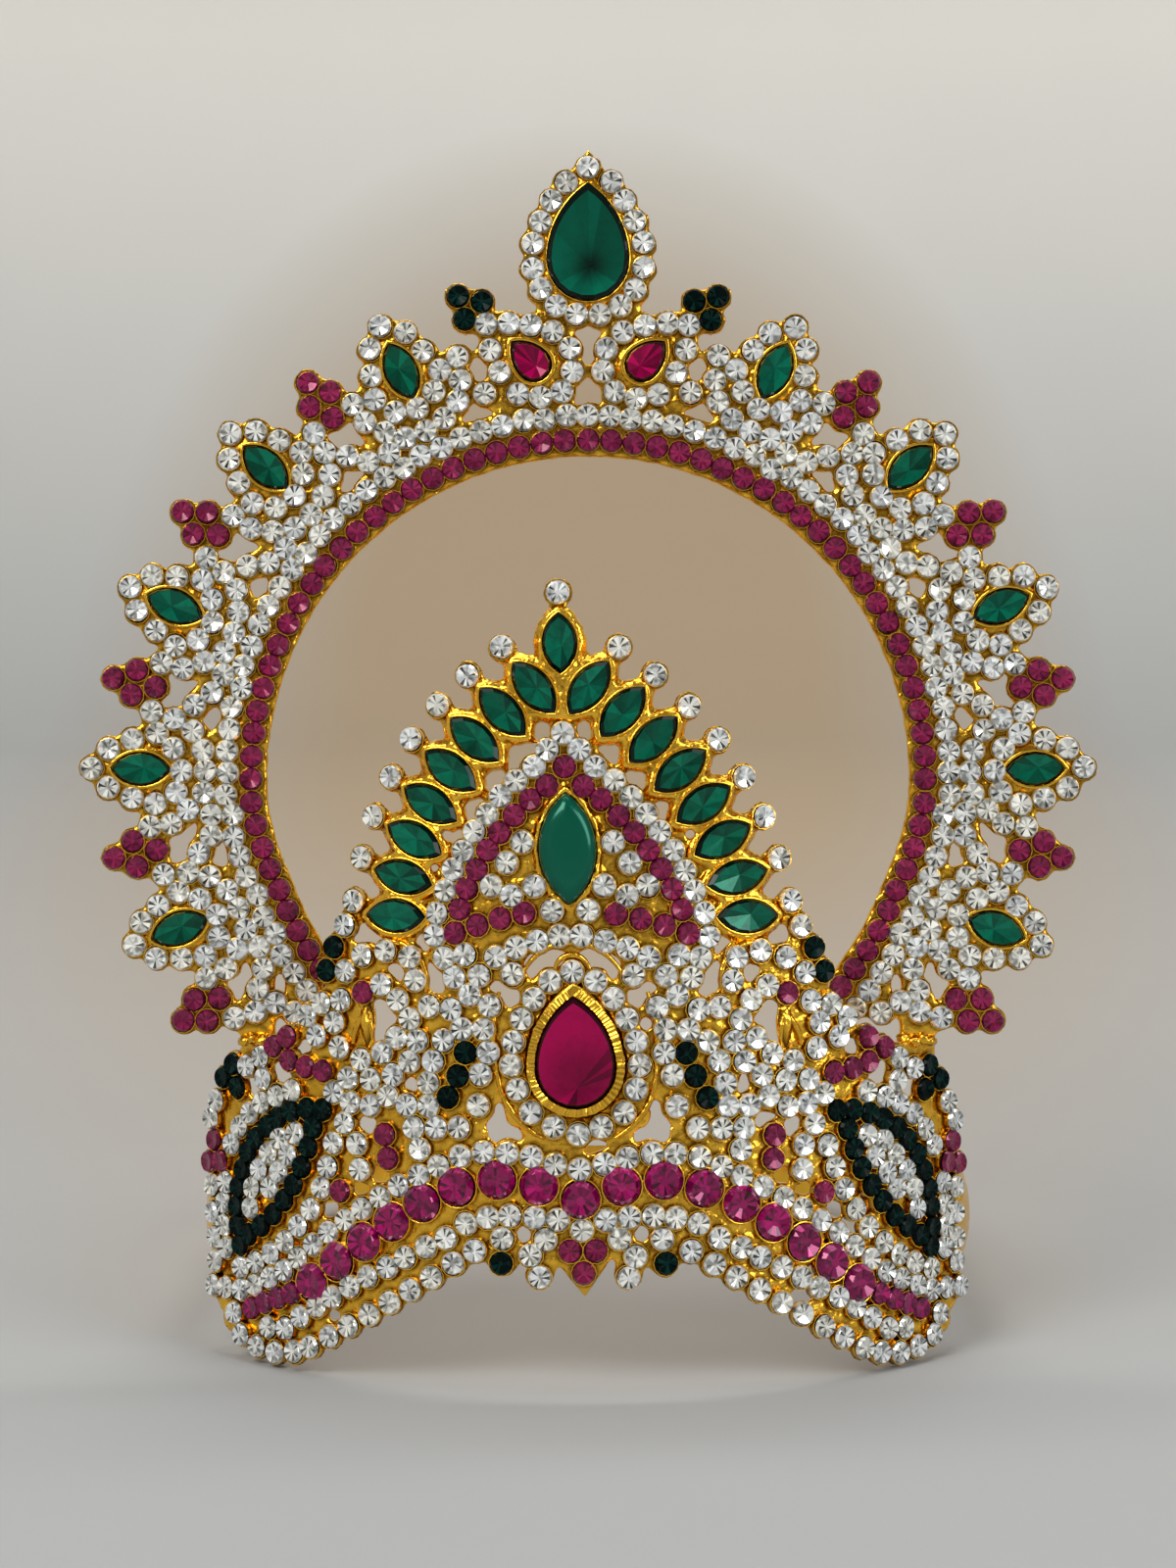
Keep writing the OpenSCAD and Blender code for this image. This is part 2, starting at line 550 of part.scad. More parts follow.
module halo_ruby_row() color("mediumvioletred") on_halo_stones(RUBY_ROW);
module halo_ruby_clusters() color("mediumvioletred") on_halo_stones(CLUSTER_STONES);
module halo_dark_clusters() color("darkslategray") on_halo_stones(both_sides(HALO_DARK));
module crest_ruby_triangle() color("mediumvioletred") on_plate_stones(CREST_RUBIES);
module band_rubies() color("mediumvioletred") {
    for (p = BIG_RUBIES) on_plate(p, lift = seat) band_ruby();
    on_plate_stones(BAND_END_RUBIES);
}
module leaf_dark(s) color("darkslategray")
    on_plate_stones([for (p = rows(LEAF_DARK)) [s * p.x, p.y]]);
module plate_dark_stones() color("darkslategray") on_plate_stones(PLATE_DARK_STONES);

front_plate();
halo();
back_band();
top_green_pear();
centre_ruby_pear();
small_ruby_pear(-1);  // small_ruby_pear_left
small_ruby_pear(1);  // small_ruby_pear_right
centre_green_marquise();
for (i = [0:len(GREEN_HALO) - 1])
    halo_green_marquise(i);
for (i = [0:len(GREEN_CREST) - 1])
    crest_green_marquise(i);
halo_ruby_row();
halo_ruby_clusters();
halo_dark_clusters();
crest_ruby_triangle();
band_rubies();
leaf_dark(-1);  // leaf_dark_left
leaf_dark(1);  // leaf_dark_right
plate_dark_stones();
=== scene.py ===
"""Finishes the stone-set deity crown: cast gold metal, set stones, and a soft-lit stage.

The cast pieces and the strip start from the CAD frame. The stones stand at the places of the
tables below, in millimetres: on the plate the distance round the bend and the height, on the
halo the distance sideways and the height.
"""

import math
import random
from collections import namedtuple

import bmesh
import bpy
import numpy as np
from bpy.props import FloatProperty, FloatVectorProperty, PointerProperty
from mathutils import Matrix, Vector
from mathutils.kdtree import KDTree


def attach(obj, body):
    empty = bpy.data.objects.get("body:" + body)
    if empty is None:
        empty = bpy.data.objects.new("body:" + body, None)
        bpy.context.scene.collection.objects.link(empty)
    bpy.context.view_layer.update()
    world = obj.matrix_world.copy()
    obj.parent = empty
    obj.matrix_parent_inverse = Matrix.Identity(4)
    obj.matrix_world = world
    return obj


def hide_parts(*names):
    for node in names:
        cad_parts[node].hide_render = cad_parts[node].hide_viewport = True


bl_info = {
    "name": "Stone-set deity crown",
    "version": (1, 0, 0),
    "blender": (4, 5, 0),
    "location": "View3D > Sidebar > Crown",
    "description": "Casts the metal, sets the stones and builds the stage of a deity crown",
    "category": "Object",
}

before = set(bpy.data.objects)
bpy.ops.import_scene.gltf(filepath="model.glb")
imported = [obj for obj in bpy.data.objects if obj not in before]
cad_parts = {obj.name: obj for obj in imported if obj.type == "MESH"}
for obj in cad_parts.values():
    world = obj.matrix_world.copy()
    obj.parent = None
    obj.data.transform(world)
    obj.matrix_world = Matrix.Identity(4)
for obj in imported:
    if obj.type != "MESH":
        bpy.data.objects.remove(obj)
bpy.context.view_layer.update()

MM = 0.001

# The crown as it rests, in millimetres and degrees
LEAN = 6.5
STAND_Y = 1.132
LOBE_LOW = 4.823

# The cast metal
FACE_R = 60.6
DRIFT = 0.038
RING_Z = 73.5
HALO_FRONT = 43.7
RUBY_ROW_R = 42.5
RUBY_ROW_N = 67
RUBY_ROW_END = 129.6
CLEAR_ROW_R = 45.6
CLEAR_ROW_N = 77
CLEAR_ROW_END = 130.4
PETALS = 5
PETAL_PITCH = 21.4
PETAL_START = 24.7
PETAL_R = 56.3
CLUSTER_R = 58.3
END_PULL = 0.026

# The main stones: width, length
CREST_STONE = (4.1, 7.9)
CREST_TOP = (4.2, 7.3)
HALO_STONE = (4.2, 7.6)
CENTRE_STONE = (7.0, 13.6)
# Pears: width, distance of the tip from the middle of the round end
TOP_PEAR = (10.2, 9.6)
RUBY_PEAR = (9.8, 8.7)
SMALL_PEAR = (4.4, 4.0)

TOP_PEAR_Z = 138.7
RUBY_PEAR_Z = 38.2
CENTRE_STONE_Z = 64.8
CREST_TOP_Z = 89.8
SMALL_PEAR_AT = (6.8, 125.5)
SMALL_PEAR_TURN = 45
TIP_REACH = 6.2
SIDES = (-1, 1)

# A row of stones: from x, z, to x, z, how far its arc bulges, how many
Row = namedtuple("Row", "x0 z0 x1 z1 bulge count")

# Clear stones of the plate, right half
PLATE_CLEAR = [Row(*r) for r in (
    (1.8, 76.4, 16.1, 57, 1.5, 10), (16.3, 54.2, 10.2, 45.6, 1.5, 5),
    (13, 51.8, 11.4, 49.3, 0, 2), (1.3, 54.2, 9.3, 51.6, 0.3, 4),
    (7.3, 49.4, 7.3, 49.4, 0, 1), (5.5, 65.6, 9.4, 60.5, 0.2, 3),
    (4.2, 60.3, 6.9, 58.6, 0, 2), (2.2, 57.3, 2.2, 57.3, 0, 1),
    (9.6, 57.7, 9.6, 57.7, 0, 1), (2.7, 48.7, 7.8, 38.4, 1.3, 5),
    (7.1, 35.5, 2.9, 31, 0.8, 3), (11.1, 42.8, 13.9, 42.6, 0, 2),
    (11, 40, 11, 40, 0, 1), (15.1, 45.2, 17.9, 45.5, 0, 2),
    (16.2, 41.2, 18.4, 33.4, 0.7, 4), (12, 37.2, 14.6, 30.7, -1.3, 3),
    (17.5, 30.6, 20.4, 30.5, 0, 2), (21.2, 33.3, 21.2, 33.3, 0, 1),
    (19.6, 48.7, 19.6, 48.7, 0, 1), (20.2, 51.4, 29.3, 49.5, 1.6, 4),
    (24, 47.8, 19.7, 41.4, -0.8, 4), (29.9, 46, 35.1, 43.8, 0.6, 3),
    (31.7, 43.1, 31.1, 39.9, -2, 3), (33.8, 41.4, 33.8, 41.4, 0, 1),
    (24.3, 39.7, 27.3, 38.7, 0, 2), (22.4, 41.5, 22.4, 41.5, 0, 1),
    (20.7, 38.8, 20.7, 38.8, 0, 1), (23, 37, 29.2, 36.3, -0.3, 3),
    (23.8, 34.2, 31.4, 34.2, -1.1, 4), (29.9, 30.9, 29.9, 30.9, 0, 1),
    (29, 55.2, 29, 55.2, 0, 1), (42.8, 38.6, 42.9, 35.9, 0, 2),
    (46.1, 37.1, 46.1, 37.1, 0, 1), (35.3, 33.9, 50.7, 16.8, 6, 11),
    (31.7, 28.2, 48, 11.6, -3.3, 9), (37.9, 29.1, 43.2, 19.9, -0.3, 5),
    (40.6, 28.3, 45.5, 19.6, 1.2, 5), (3, 26.4, 14.6, 27.2, 0.9, 5),
    (17.3, 26, 40, 11.8, 0.8, 10), (42.3, 10.3, 54, 8.8, -0.6, 5),
    (3, 19.5, 14.2, 19.1, 0.8, 5), (16.8, 17.2, 40.2, 4.8, 0.3, 10),
    (43, 4.5, 52.4, 7.5, -0.9, 4), (13.2, 15.8, 36.2, 2.7, -0.3, 9),
    (38.9, 1.8, 50.9, 4.8, -1.4, 5), (53.2, 12, 53.6, 21.4, 0.4, 4),
    (50.7, 13.9, 50.7, 13.9, 0, 1), (52.4, 32.2, 53.4, 29.8, 0, 2),
    (28.3, 28.3, 28, 25.2, 0, 2), (4.6, 17.3, 5.4, 12.9, 1.1, 3),
    (9.7, 17.3, 9.7, 17.3, 0, 1), (19.9, 28.2, 19.9, 28.2, 0, 1),
)]
# Clear stones on the plate's middle line: heights
PLATE_CLEAR_MIDDLE = (96, 78.8, 49.8, 30.1, 25.8, 18.5)
# Small rubies of the plate, right half
PLATE_RUBY = [Row(*r) for r in (
    (26.8, 47, 26.8, 47, 0, 1), (38.4, 41.1, 40.9, 39.8, 0, 2),
    (38.3, 38.2, 33, 37.1, 0.2, 3), (24.4, 29.6, 24.1, 26.7, 0, 2),
    (31, 22.3, 31, 22.3, 0, 1), (53, 27.3, 51.7, 24.8, 0, 2),
    (54.3, 24.5, 54.3, 24.5, 0, 1), (1.5, 15.9, 1.5, 15.9, 0, 1),
)]
PENDANT_RUBY = (0, 13.2)
# Small rubies of the crest's triangle, right half, and the one on its tip
CREST_RUBY = [Row(2.2, 72.5, 13.6, 57.4, 1.3, 8), Row(14.2, 54.5, 5.6, 56.9, -0.2, 4)]
CREST_RUBY_TOP = (0, 74.8)
# Small rubies that end the band, right half
BAND_END_RUBY = [Row(38.9, 9.2, 46, 6.7, 0, 4)]
# Dark green stones, right half: round the leaf, and the others
LEAF_DARK = [Row(33.2, 32.3, 48, 14.4, 6, 12), Row(34.7, 30, 46.2, 15.9, -2, 8)]
PLATE_DARK = [Row(*r) for r in (
    (13.5, 39.9, 15.9, 34.4, -0.2, 3), (30.7, 52.5, 32, 49.6, 0, 2),
    (48.7, 37.2, 50.8, 35.4, 0, 2), (47.8, 34.2, 47.8, 34.2, 0, 1),
    (10, 14.3, 10, 14.3, 0, 1),
)]
# Big rubies along the band, right half, and the one in the middle
BAND_RUBY = [Row(5, 23.8, 15.1, 23.4, 0.9, 3), Row(19.7, 21.4, 35.6, 10.7, 0.3, 5)]
BAND_RUBY_MIDDLE = (0, 22.2)

# Stones of one petal: angle from the petal's middle, radius
PETAL = (
    (0, 62.5), (-2.3, 60.5), (2.3, 60.5), (-3.6, 57.6), (3.7, 57.5), (-4.7, 54.6),
    (4.7, 54.6), (-7.5, 55.5), (7.5, 55.5), (-6.9, 52.6), (7.2, 52.6), (-2.9, 52.4),
    (0.2, 51.2), (3.1, 52), (5.8, 50.2), (-5.3, 50), (-2.5, 48.7), (0.6, 48.2),
    (3.7, 48.5), (6.8, 47.9), (9.6, 48.6), (-9.7, 50.1),
)
# Stones of a ruby cluster: sideways and outward from its middle
CLUSTER = ((0, 2.75), (-1.6, 0.1), (1.6, 0.1), (0, -2.65))
# Stones that end the halo: angle from the top, radius
HALO_END = ((124.2, 55.2), (125.1, 52.5), (125.8, 49.8), (122.9, 50.9), (128.5, 48.7))
# Clear stones over the ring, right half, and the top one
HALO_TOP = [Row(*r) for r in (
    (2.8, 148.5, 6.95, 140.8, 0.5, 4), (6.95, 137.7, 1.45, 131.8, 1.3, 4),
    (4.4, 129.6, 12.9, 130.6, 0.5, 4), (2.3, 127.5, 1.9, 124.7, 0, 2),
    (3.3, 122.1, 8.9, 121.8, -0.8, 3), (11.1, 124.5, 12.3, 127.4, 0, 2),
    (11.9, 121.5, 11.9, 121.5, 0, 1),
)]
HALO_TOP_STONE = (0, 150.3)
# Dark green stones beside the small pears, right half
HALO_DARK = ((13.4, 133.5), (16.4, 134.1), (15.5, 131.2))

# Raised gold lines on the plate, right half: the frame of the big pear, the loop of the wing
PLATE_RIDGE = [Row(*r) for r in (
    (9.0, 47.4, 9.7, 38.4, 0.6, 10), (9.7, 38.4, 4.4, 29.6, 1.5, 12),
    (18.4, 47.2, 23.6, 53.3, 2.2, 12), (25.8, 41.2, 27.4, 45.6, 0.5, 8),
    (28.6, 40.6, 26.6, 44.6, -0.4, 8),
    (49.2, 29.6, 52.3, 22.6, -0.6, 9),
)]
# The arches over the big pear, both feet on the middle line's two sides
PLATE_ARCH = [Row(-6.1, 49.4, 6.1, 49.4, 4.0, 21), Row(-2.1, 50.2, 2.1, 50.2, 1.7, 11)]
WING_BUD = (26.6, 43.4)

# The solder where the halo stands on the plate: sideways, height, and how far forward
SOLDER = (41.5, 40.5)
SOLDER_Y = -44.0
# The solder at the strip's feet: angle round the bend, depth inside the face, heights, half size
FOOT_ANGLE = 54
FOOT_INSIDE = 2.6
FOOT_HEIGHTS = (13.4, 19.8)
FOOT_LUMP = (1.3, 1.6, 1.2)
# The raised lines: half thickness, how far they stand out, and the same for the arches
RIDGE_R = 0.42
RIDGE_LIFT = 0.25
ARCH_LIFT = 0.35


# Places

def arc_row(row):
    """Points evenly spaced along a circular arc, as in the part's source."""
    a, b = Vector((row.x0, row.z0)), Vector((row.x1, row.z1))
    if row.count == 1:
        return [tuple(a)]
    if row.bulge == 0:
        return [tuple(a.lerp(b, i / (row.count - 1))) for i in range(row.count)]
    chord = (b - a).length
    along = (b - a) / chord
    side = Vector((-along.y, along.x))
    radius = (chord * chord / 4 + row.bulge * row.bulge) / (2 * row.bulge)
    half = math.asin(chord / 2 / radius)
    points = []
    for i in range(row.count):
        t = half * (2 * i / (row.count - 1) - 1)
        middle = (a + b) / 2 + along * radius * math.sin(t)
        points.append(tuple(middle + side * (radius * math.cos(t) - radius + row.bulge)))
    return points


def rows(table):
    return [p for row in table for p in arc_row(row)]


def both_sides(points):
    return [(s * x, z) for s in SIDES for x, z in points]


def polar(angle, radius):
    a = math.radians(angle)
    radius *= 1 - END_PULL * min(1, max(0, (abs(angle) - 95) / 15))
    return (radius * math.sin(a), RING_Z + radius * math.cos(a))


def petal_angle(i):
    return PETAL_START + PETAL_PITCH * i


CREST_AT = arc_row(Row(3.3, 84.4, 21.8, 56.5, 3.4, 8))


def crest_ray(i):
    return 38 + 5 * i


def crest_turn(i):
    return crest_ray(i) + 8 * max(0, i - 5)


def crest_tip(i):
    a = math.radians(crest_ray(i))
    return (CREST_AT[i][0] + TIP_REACH * math.sin(a), CREST_AT[i][1] + TIP_REACH * math.cos(a))


def cluster_stones():
    points = []
    for i in range(PETALS):
        angle = petal_angle(i) + PETAL_PITCH / 2
        a = math.radians(angle)
        x, z = polar(angle, CLUSTER_R)
        for across, out in CLUSTER:
            points.append((
                x + across * math.cos(a) + out * math.sin(a),
                z - across * math.sin(a) + out * math.cos(a),
            ))
    return both_sides(points)


def ring_row(count, end, radius):
    return [polar(end * (2 * i / (count - 1) - 1), radius) for i in range(count)]


RESTING = (
    Matrix.Scale(MM, 4)
    @ Matrix.Translation((0, STAND_Y, -LOBE_LOW))
    @ Matrix.Rotation(math.radians(-LEAN), 4, "X")
)
FACING = Matrix.Rotation(math.radians(90), 4, "X")


def on_plate(place, turn=0, lift=0):
    """The matrix of a place on the plate's face, the child's Z outward, with the crest's drift."""
    x = place[0] - DRIFT * place[1]
    t = math.radians(turn)
    t = math.atan2(math.sin(t) - DRIFT * math.cos(t), math.cos(t))
    return (
        RESTING
        @ Matrix.Rotation(x / FACE_R, 4, "Z")
        @ Matrix.Translation((0, -FACE_R - lift, place[1]))
        @ FACING
        @ Matrix.Rotation(-t, 4, "Z")
    )


def on_halo(place, turn=0, lift=0):
    """The matrix of a place on the halo's front face, the child's Z outward."""
    return (
        RESTING
        @ Matrix.Translation((place[0], -HALO_FRONT - lift, place[1]))
        @ FACING
        @ Matrix.Rotation(math.radians(-turn), 4, "Z")
    )


def small_pear_places():
    return [on_halo((s * SMALL_PEAR_AT[0], SMALL_PEAR_AT[1]), s * SMALL_PEAR_TURN) for s in SIDES]


# Modelling by operators

def deselect():
    if bpy.context.object and bpy.context.object.mode != "OBJECT":
        bpy.ops.object.mode_set(mode="OBJECT")
    bpy.ops.object.select_all(action="DESELECT")


def choose(obj):
    deselect()
    obj.select_set(True)
    bpy.context.view_layer.objects.active = obj


def edit(obj, kind="FACE"):
    choose(obj)
    bpy.ops.object.mode_set(mode="EDIT")
    bpy.ops.mesh.select_mode(type=kind)


def leave_edit():
    bpy.ops.object.mode_set(mode="OBJECT")


def pick_faces(obj, wanted):
    mesh = bmesh.from_edit_mesh(obj.data)
    for face in mesh.faces:
        face.select_set(False)
    for face in mesh.faces:
        if wanted(face):
            face.select_set(True)
    bmesh.update_edit_mesh(obj.data)


def pick_points(obj, wanted):
    mesh = bmesh.from_edit_mesh(obj.data)
    for face in mesh.faces:
        face.select_set(False)
    for point in mesh.verts:
        point.select_set(wanted(point.co))
    bmesh.update_edit_mesh(obj.data)


def top_face(height):
    return lambda face: face.normal.z > 0.9 and abs(face.calc_center_median().z - height) < 1e-4


def raise_top(height, scale):
    """Extrudes the chosen face upwards, then narrows it."""
    bpy.ops.mesh.extrude_region_move(TRANSFORM_OT_translate={"value": (0, 0, height)})
    bpy.ops.transform.resize(value=(scale, scale, 1), center_override=(0, 0, 0))


def apply_all(obj):
    choose(obj)
    for name in [m.name for m in obj.modifiers]:
        bpy.ops.object.modifier_apply(modifier=name)


def add_object(name, data):
    obj = bpy.data.objects.new(name, data)
    bpy.context.collection.objects.link(obj)
    return obj


def flat_outline(points, name, z):
    """A single face with the outline of a stone, facing up."""
    mesh = bpy.data.meshes.new(name)
    mesh.from_pydata([(x, y, z) for x, y in points], [], [list(range(len(points)))])
    return add_object(name, mesh)


def keep_values(mesh, name, domain, values):
    """Keeps one number for each face or point of the mesh, for its material to read."""
    layer = mesh.attributes.new(name, "FLOAT", domain)
    layer.data.foreach_set("value", np.asarray(values, np.float32))


def slab(points, name, low, high):
    """A closed plate with the outline of a stone, with its top face chosen in edit mode."""
    obj = flat_outline(points, name, low)
    edit(obj)
    bpy.ops.mesh.select_all(action="SELECT")
    bpy.ops.mesh.extrude_region_move(TRANSFORM_OT_translate={"value": (0, 0, high - low)})
    bpy.ops.mesh.select_all(action="SELECT")
    bpy.ops.mesh.normals_make_consistent(inside=False)
    pick_faces(obj, top_face(high))
    return obj


def marquise_outline(width, length, n):
    """Points round a marquise, 2 n of them, its tips on the long axis."""
    r = (length * length + width * width) / (4 * width)
    half = math.asin(length / 2 / r)
    right = [half * (2 * i / n - 1) for i in range(n)]
    left = [half * (1 - 2 * i / n) for i in range(n)]
    return [(width / 2 - r + r * math.cos(t), r * math.sin(t)) for t in right] + [
        (r - width / 2 - r * math.cos(t), r * math.sin(t)) for t in left
    ]


def pear_outline(width, tip, n):
    """Points round a pear, 3 n of them, its tip at the top."""
    r = (tip * tip + width * width / 4) / width
    half = math.asin(tip / r)
    bowl = [math.pi + math.pi * i / n for i in range(n + 1)]
    up = [half * i / n for i in range(1, n + 1)]
    down = [half * (1 - i / n) for i in range(1, n)]
    return (
        [(width / 2 * math.cos(t), width / 2 * math.sin(t)) for t in bowl]
        + [(width / 2 - r + r * math.cos(t), r * math.sin(t)) for t in up]
        + [(r - width / 2 - r * math.cos(t), r * math.sin(t)) for t in down]
    )


def widened(outline, by):
    """The outline moved outward by about the same distance all round."""
    points = [Vector(p) for p in outline]
    middle = sum(points, Vector((0, 0))) / len(points)
    moved = []
    for i, p in enumerate(points):
        before, after = points[i - 1], points[(i + 1) % len(points)]
        along = (after - before).normalized()
        out = Vector((along.y, -along.x))
        if out.dot(p - middle) < 0:
            out = -out
        sharp = (p - before).normalized().dot((after - p).normalized())
        moved.append(p + out * by * min(1.6, 1 / max(0.5, math.sqrt((1 + sharp) / 2))))
    return [tuple(p) for p in moved]


# Templates

# What a facet of a stone is, kept in the attribute role
GIRDLE, CROWN, WIDE, NARROW, EYE = range(5)

# How a round stone is cut: heights of girdle and top, then table and eye as shares of the
# radius, and how deep the eye lies
RoundCut = namedtuple("RoundCut", "girdle height table eye dip")
SMALL_CUT = RoundCut(0.66, 1.1, 0.84, 0.2, 0.16)
BIG_CUT = RoundCut(0.85, 1.7, 0.74, 0.25, 0.3)
ROUND_SIDES = 16
ROUND_FOOT = 0.12
# How far the corners of the star turn, as a share of one side's angle
STAR_TURN = 0.3
# The foot of the long stones
LONG_FOOT = 0.1


def name_facets(obj, table_r, eye_r, wide_area=0.0):
    """Notes on each face which facet of the stone it is."""
    role = obj.data.attributes.new("role", "INT", "FACE")
    for face in obj.data.polygons:
        out = math.hypot(face.center.x, face.center.y)
        if abs(face.normal.z) < 0.35 or face.normal.z < 0:
            kind = GIRDLE
        elif out > table_r:
            kind = CROWN
        elif out < eye_r:
            kind = EYE
        else:
            kind = WIDE if face.area > wide_area else NARROW
        role.data[face.index].value = kind


def round_stone_template(diameter, cut):
    """A round stone: girdle, crown, and under the table a star of wide and narrow foil facets."""
    girdle, height, table, eye, dip = cut
    bpy.ops.mesh.primitive_cylinder_add(
        vertices=ROUND_SIDES, radius=diameter / 2, depth=girdle - ROUND_FOOT,
        end_fill_type="NGON", location=(0, 0, (girdle + ROUND_FOOT) / 2),
    )
    obj = bpy.context.object
    bpy.ops.object.transform_apply(location=True)
    edit(obj)
    pick_faces(obj, top_face(girdle))
    raise_top(height - girdle, table)
    step = 2 * math.pi / ROUND_SIDES
    half = step / 2 if abs(obj.data.vertices[0].co.y) > 1e-6 else 0
    pick_points(obj, lambda p: abs(p.z - height) < 1e-4
                and round((math.atan2(p.y, p.x) - half) / step) % 2 == 1)
    bpy.ops.transform.rotate(value=step * STAR_TURN, orient_axis="Z", center_override=(0, 0, 0))
    bpy.ops.mesh.select_mode(type="FACE")
    pick_faces(obj, top_face(height))
    bpy.ops.mesh.inset(thickness=diameter / 2 * (table - eye))
    bpy.ops.transform.translate(value=(0, 0, -dip))
    leave_edit()
    areas = sorted(p.area for p in obj.data.polygons
                   if eye < math.hypot(p.center.x, p.center.y) * 2 / diameter < table * 0.95
                   and p.normal.z > 0.5)
    middle = (areas[0] + areas[-1]) / 2 if areas else 0
    name_facets(obj, diameter / 2 * table * 0.96, diameter / 2 * eye * 0.7, middle)
    return obj


def rim_template(outline, wall, low, high, floor, bevel, name):
    """A cup for a stone: an upright wall with a rounded rim, open to a floor under the stone."""
    obj = slab(widened(outline, wall), name, low, high)
    bpy.ops.mesh.inset(thickness=wall, use_even_offset=True)
    bpy.ops.mesh.extrude_region_move(TRANSFORM_OT_translate={"value": (0, 0, floor - high)})
    leave_edit()
    if bevel:
        rounding = obj.modifiers.new("Rounded rim", "BEVEL")
        rounding.width = bevel
        rounding.segments = 2
        rounding.limit_method = "ANGLE"
        rounding.angle_limit = math.radians(50)
        apply_all(obj)
    return obj


def circle_outline(radius, n):
    return [(radius * math.cos(2 * math.pi * i / n), radius * math.sin(2 * math.pi * i / n))
            for i in range(n)]


def star_stone_template(outline, name, girdle, height, table, centre, dip):
    """A long stone: girdle, bevelled crown, and facets that fall to a low point."""
    obj = slab(outline, name, LONG_FOOT, girdle)
    raise_top(height - girdle, table)
    bpy.ops.mesh.inset(thickness=0.02)
    bpy.ops.mesh.poke(offset=-dip)
    leave_edit()
    points = obj.data.vertices
    lowest = [v for v in points if abs(v.co.z - (height - dip)) < 1e-3]
    for point in lowest:
        point.co.x, point.co.y = centre
    role = obj.data.attributes.new("role", "INT", "FACE")
    for face in obj.data.polygons:
        if abs(face.normal.z) < 0.35 or face.normal.z < 0:
            role.data[face.index].value = GIRDLE
        elif any(points[i].co.z < girdle + 1e-3 for i in face.vertices):
            role.data[face.index].value = CROWN
        else:
            role.data[face.index].value = WIDE
    return obj


# The range of painted reflection shades of each facet, for four looks of stone; the girdle at 0 is
# painted shade round each stone
SPARKLING = {GIRDLE: (0, 0), CROWN: (0.4, 1), WIDE: (0.5, 1), NARROW: (0, 0.6), EYE: (0.6, 0.9)}
QUIET = {GIRDLE: (0, 0), CROWN: (0.2, 0.7), WIDE: (0.4, 1), NARROW: (0.1, 0.5), EYE: (0.5, 1)}
# Painted shadow: a near-black crown ring round the stone
SHADOW_RIMMED = {GIRDLE: (0, 0), CROWN: (0.0, 0.06), WIDE: (0.22, 1), NARROW: (0, 1), EYE: (0, 1)}
SMOOTH = {GIRDLE: (0, 0), CROWN: (0.9, 0.9), WIDE: (0.9, 0.9), NARROW: (0.9, 0.9), EYE: (1, 1)}


def ray_shades(obj, centre, rays):
    """Painted reflection shades by direction: of each ray's angle and shade, a facet takes the
    nearest ray's shade.
    """
    shades = []
    for face in obj.data.polygons:
        angle = math.degrees(math.atan2(face.center.y - centre[1], face.center.x - centre[0]))
        nearest = min(rays, key=lambda ray: abs((angle - ray[0] + 180) % 360 - 180))
        shades.append(nearest[1])
    return shades


def copies(template, matrices, name, seed, cut=None, smooth=False, keep=False, rays=None):
    """One mesh with a copy of the template at each place, a painted reflection shade for each facet,
    and a tone for each copy.

    The shade attribute is 0, full painted shade, up to a third of a copy's height and rises to 1,
    unshaded, at its top.
    """
    mesh = template.data
    points = np.array([v.co for v in mesh.vertices], float)
    faces = [tuple(p.vertices) for p in mesh.polygons]
    count = len(points)
    dice = np.random.default_rng(seed)
    all_points, all_faces = [], []
    for k, matrix in enumerate(matrices):
        m = np.array(matrix, float)
        all_points.append(points @ m[:3, :3].T + m[:3, 3])
        all_faces.extend(tuple(i + k * count for i in f) for f in faces)
    built = bpy.data.meshes.new(name)
    built.from_pydata(np.vstack(all_points).tolist(), [], all_faces)
    shades = dice.random(len(all_faces))
    if cut:
        roles = [item.value for item in mesh.attributes["role"].data]
        low = np.array([cut[r][0] for r in roles] * len(matrices))
        high = np.array([cut[r][1] for r in roles] * len(matrices))
        if rays:
            shades = np.array(rays * len(matrices))
        shades = low + (high - low) * shades
    keep_values(built, "facet", "FACE", shades)
    keep_values(built, "tone", "FACE", np.repeat(dice.random(len(matrices)), len(faces)))
    # Painted shade at the foot of each copy, read by the gold of the rims and bezels
    rise = np.clip(points[:, 2] / points[:, 2].max() * 1.5 - 0.5, 0, 1)
    keep_values(built, "unshaded", "POINT", np.tile(rise, len(matrices)))
    if smooth:
        built.shade_smooth()
    obj = add_object(name, built)
    if not keep:
        bpy.data.objects.remove(template, do_unlink=True)
    return obj


def join(objects, name):
    choose(objects[0])
    for obj in objects[1:]:
        obj.select_set(True)
    bpy.ops.object.join()
    joined = bpy.context.object
    joined.name = name
    joined.data.name = name
    return joined


def finish_piece(obj, material, replaced=()):
    obj.data.materials.clear()
    obj.data.materials.append(material)
    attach(obj, "root")
    if replaced:
        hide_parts(*replaced)
    return obj


# The sets of places

def loosened(matrices, seed, tilt, shift):
    """The same places with the slight tilts and slips of stones set by hand."""
    dice = random.Random(seed)
    out = []
    for matrix in matrices:
        lean = Matrix.Rotation(math.radians(dice.gauss(0, tilt)), 4, "X")
        roll = Matrix.Rotation(math.radians(dice.gauss(0, tilt)), 4, "Y")
        turn = Matrix.Rotation(dice.uniform(0, 2 * math.pi), 4, "Z")
        slip = Matrix.Translation((dice.gauss(0, shift), dice.gauss(0, shift),
                                   dice.uniform(0, 2 * shift)))
        out.append(matrix @ slip @ lean @ roll @ turn)
    return out


def apart(points, taken, least):
    """The points that keep their distance from those already taken."""
    kept = []
    for p in points:
        near = any((p[0] - q[0]) ** 2 + (p[1] - q[1]) ** 2 < least * least for q in taken + kept)
        if not near:
            kept.append(p)
    return kept


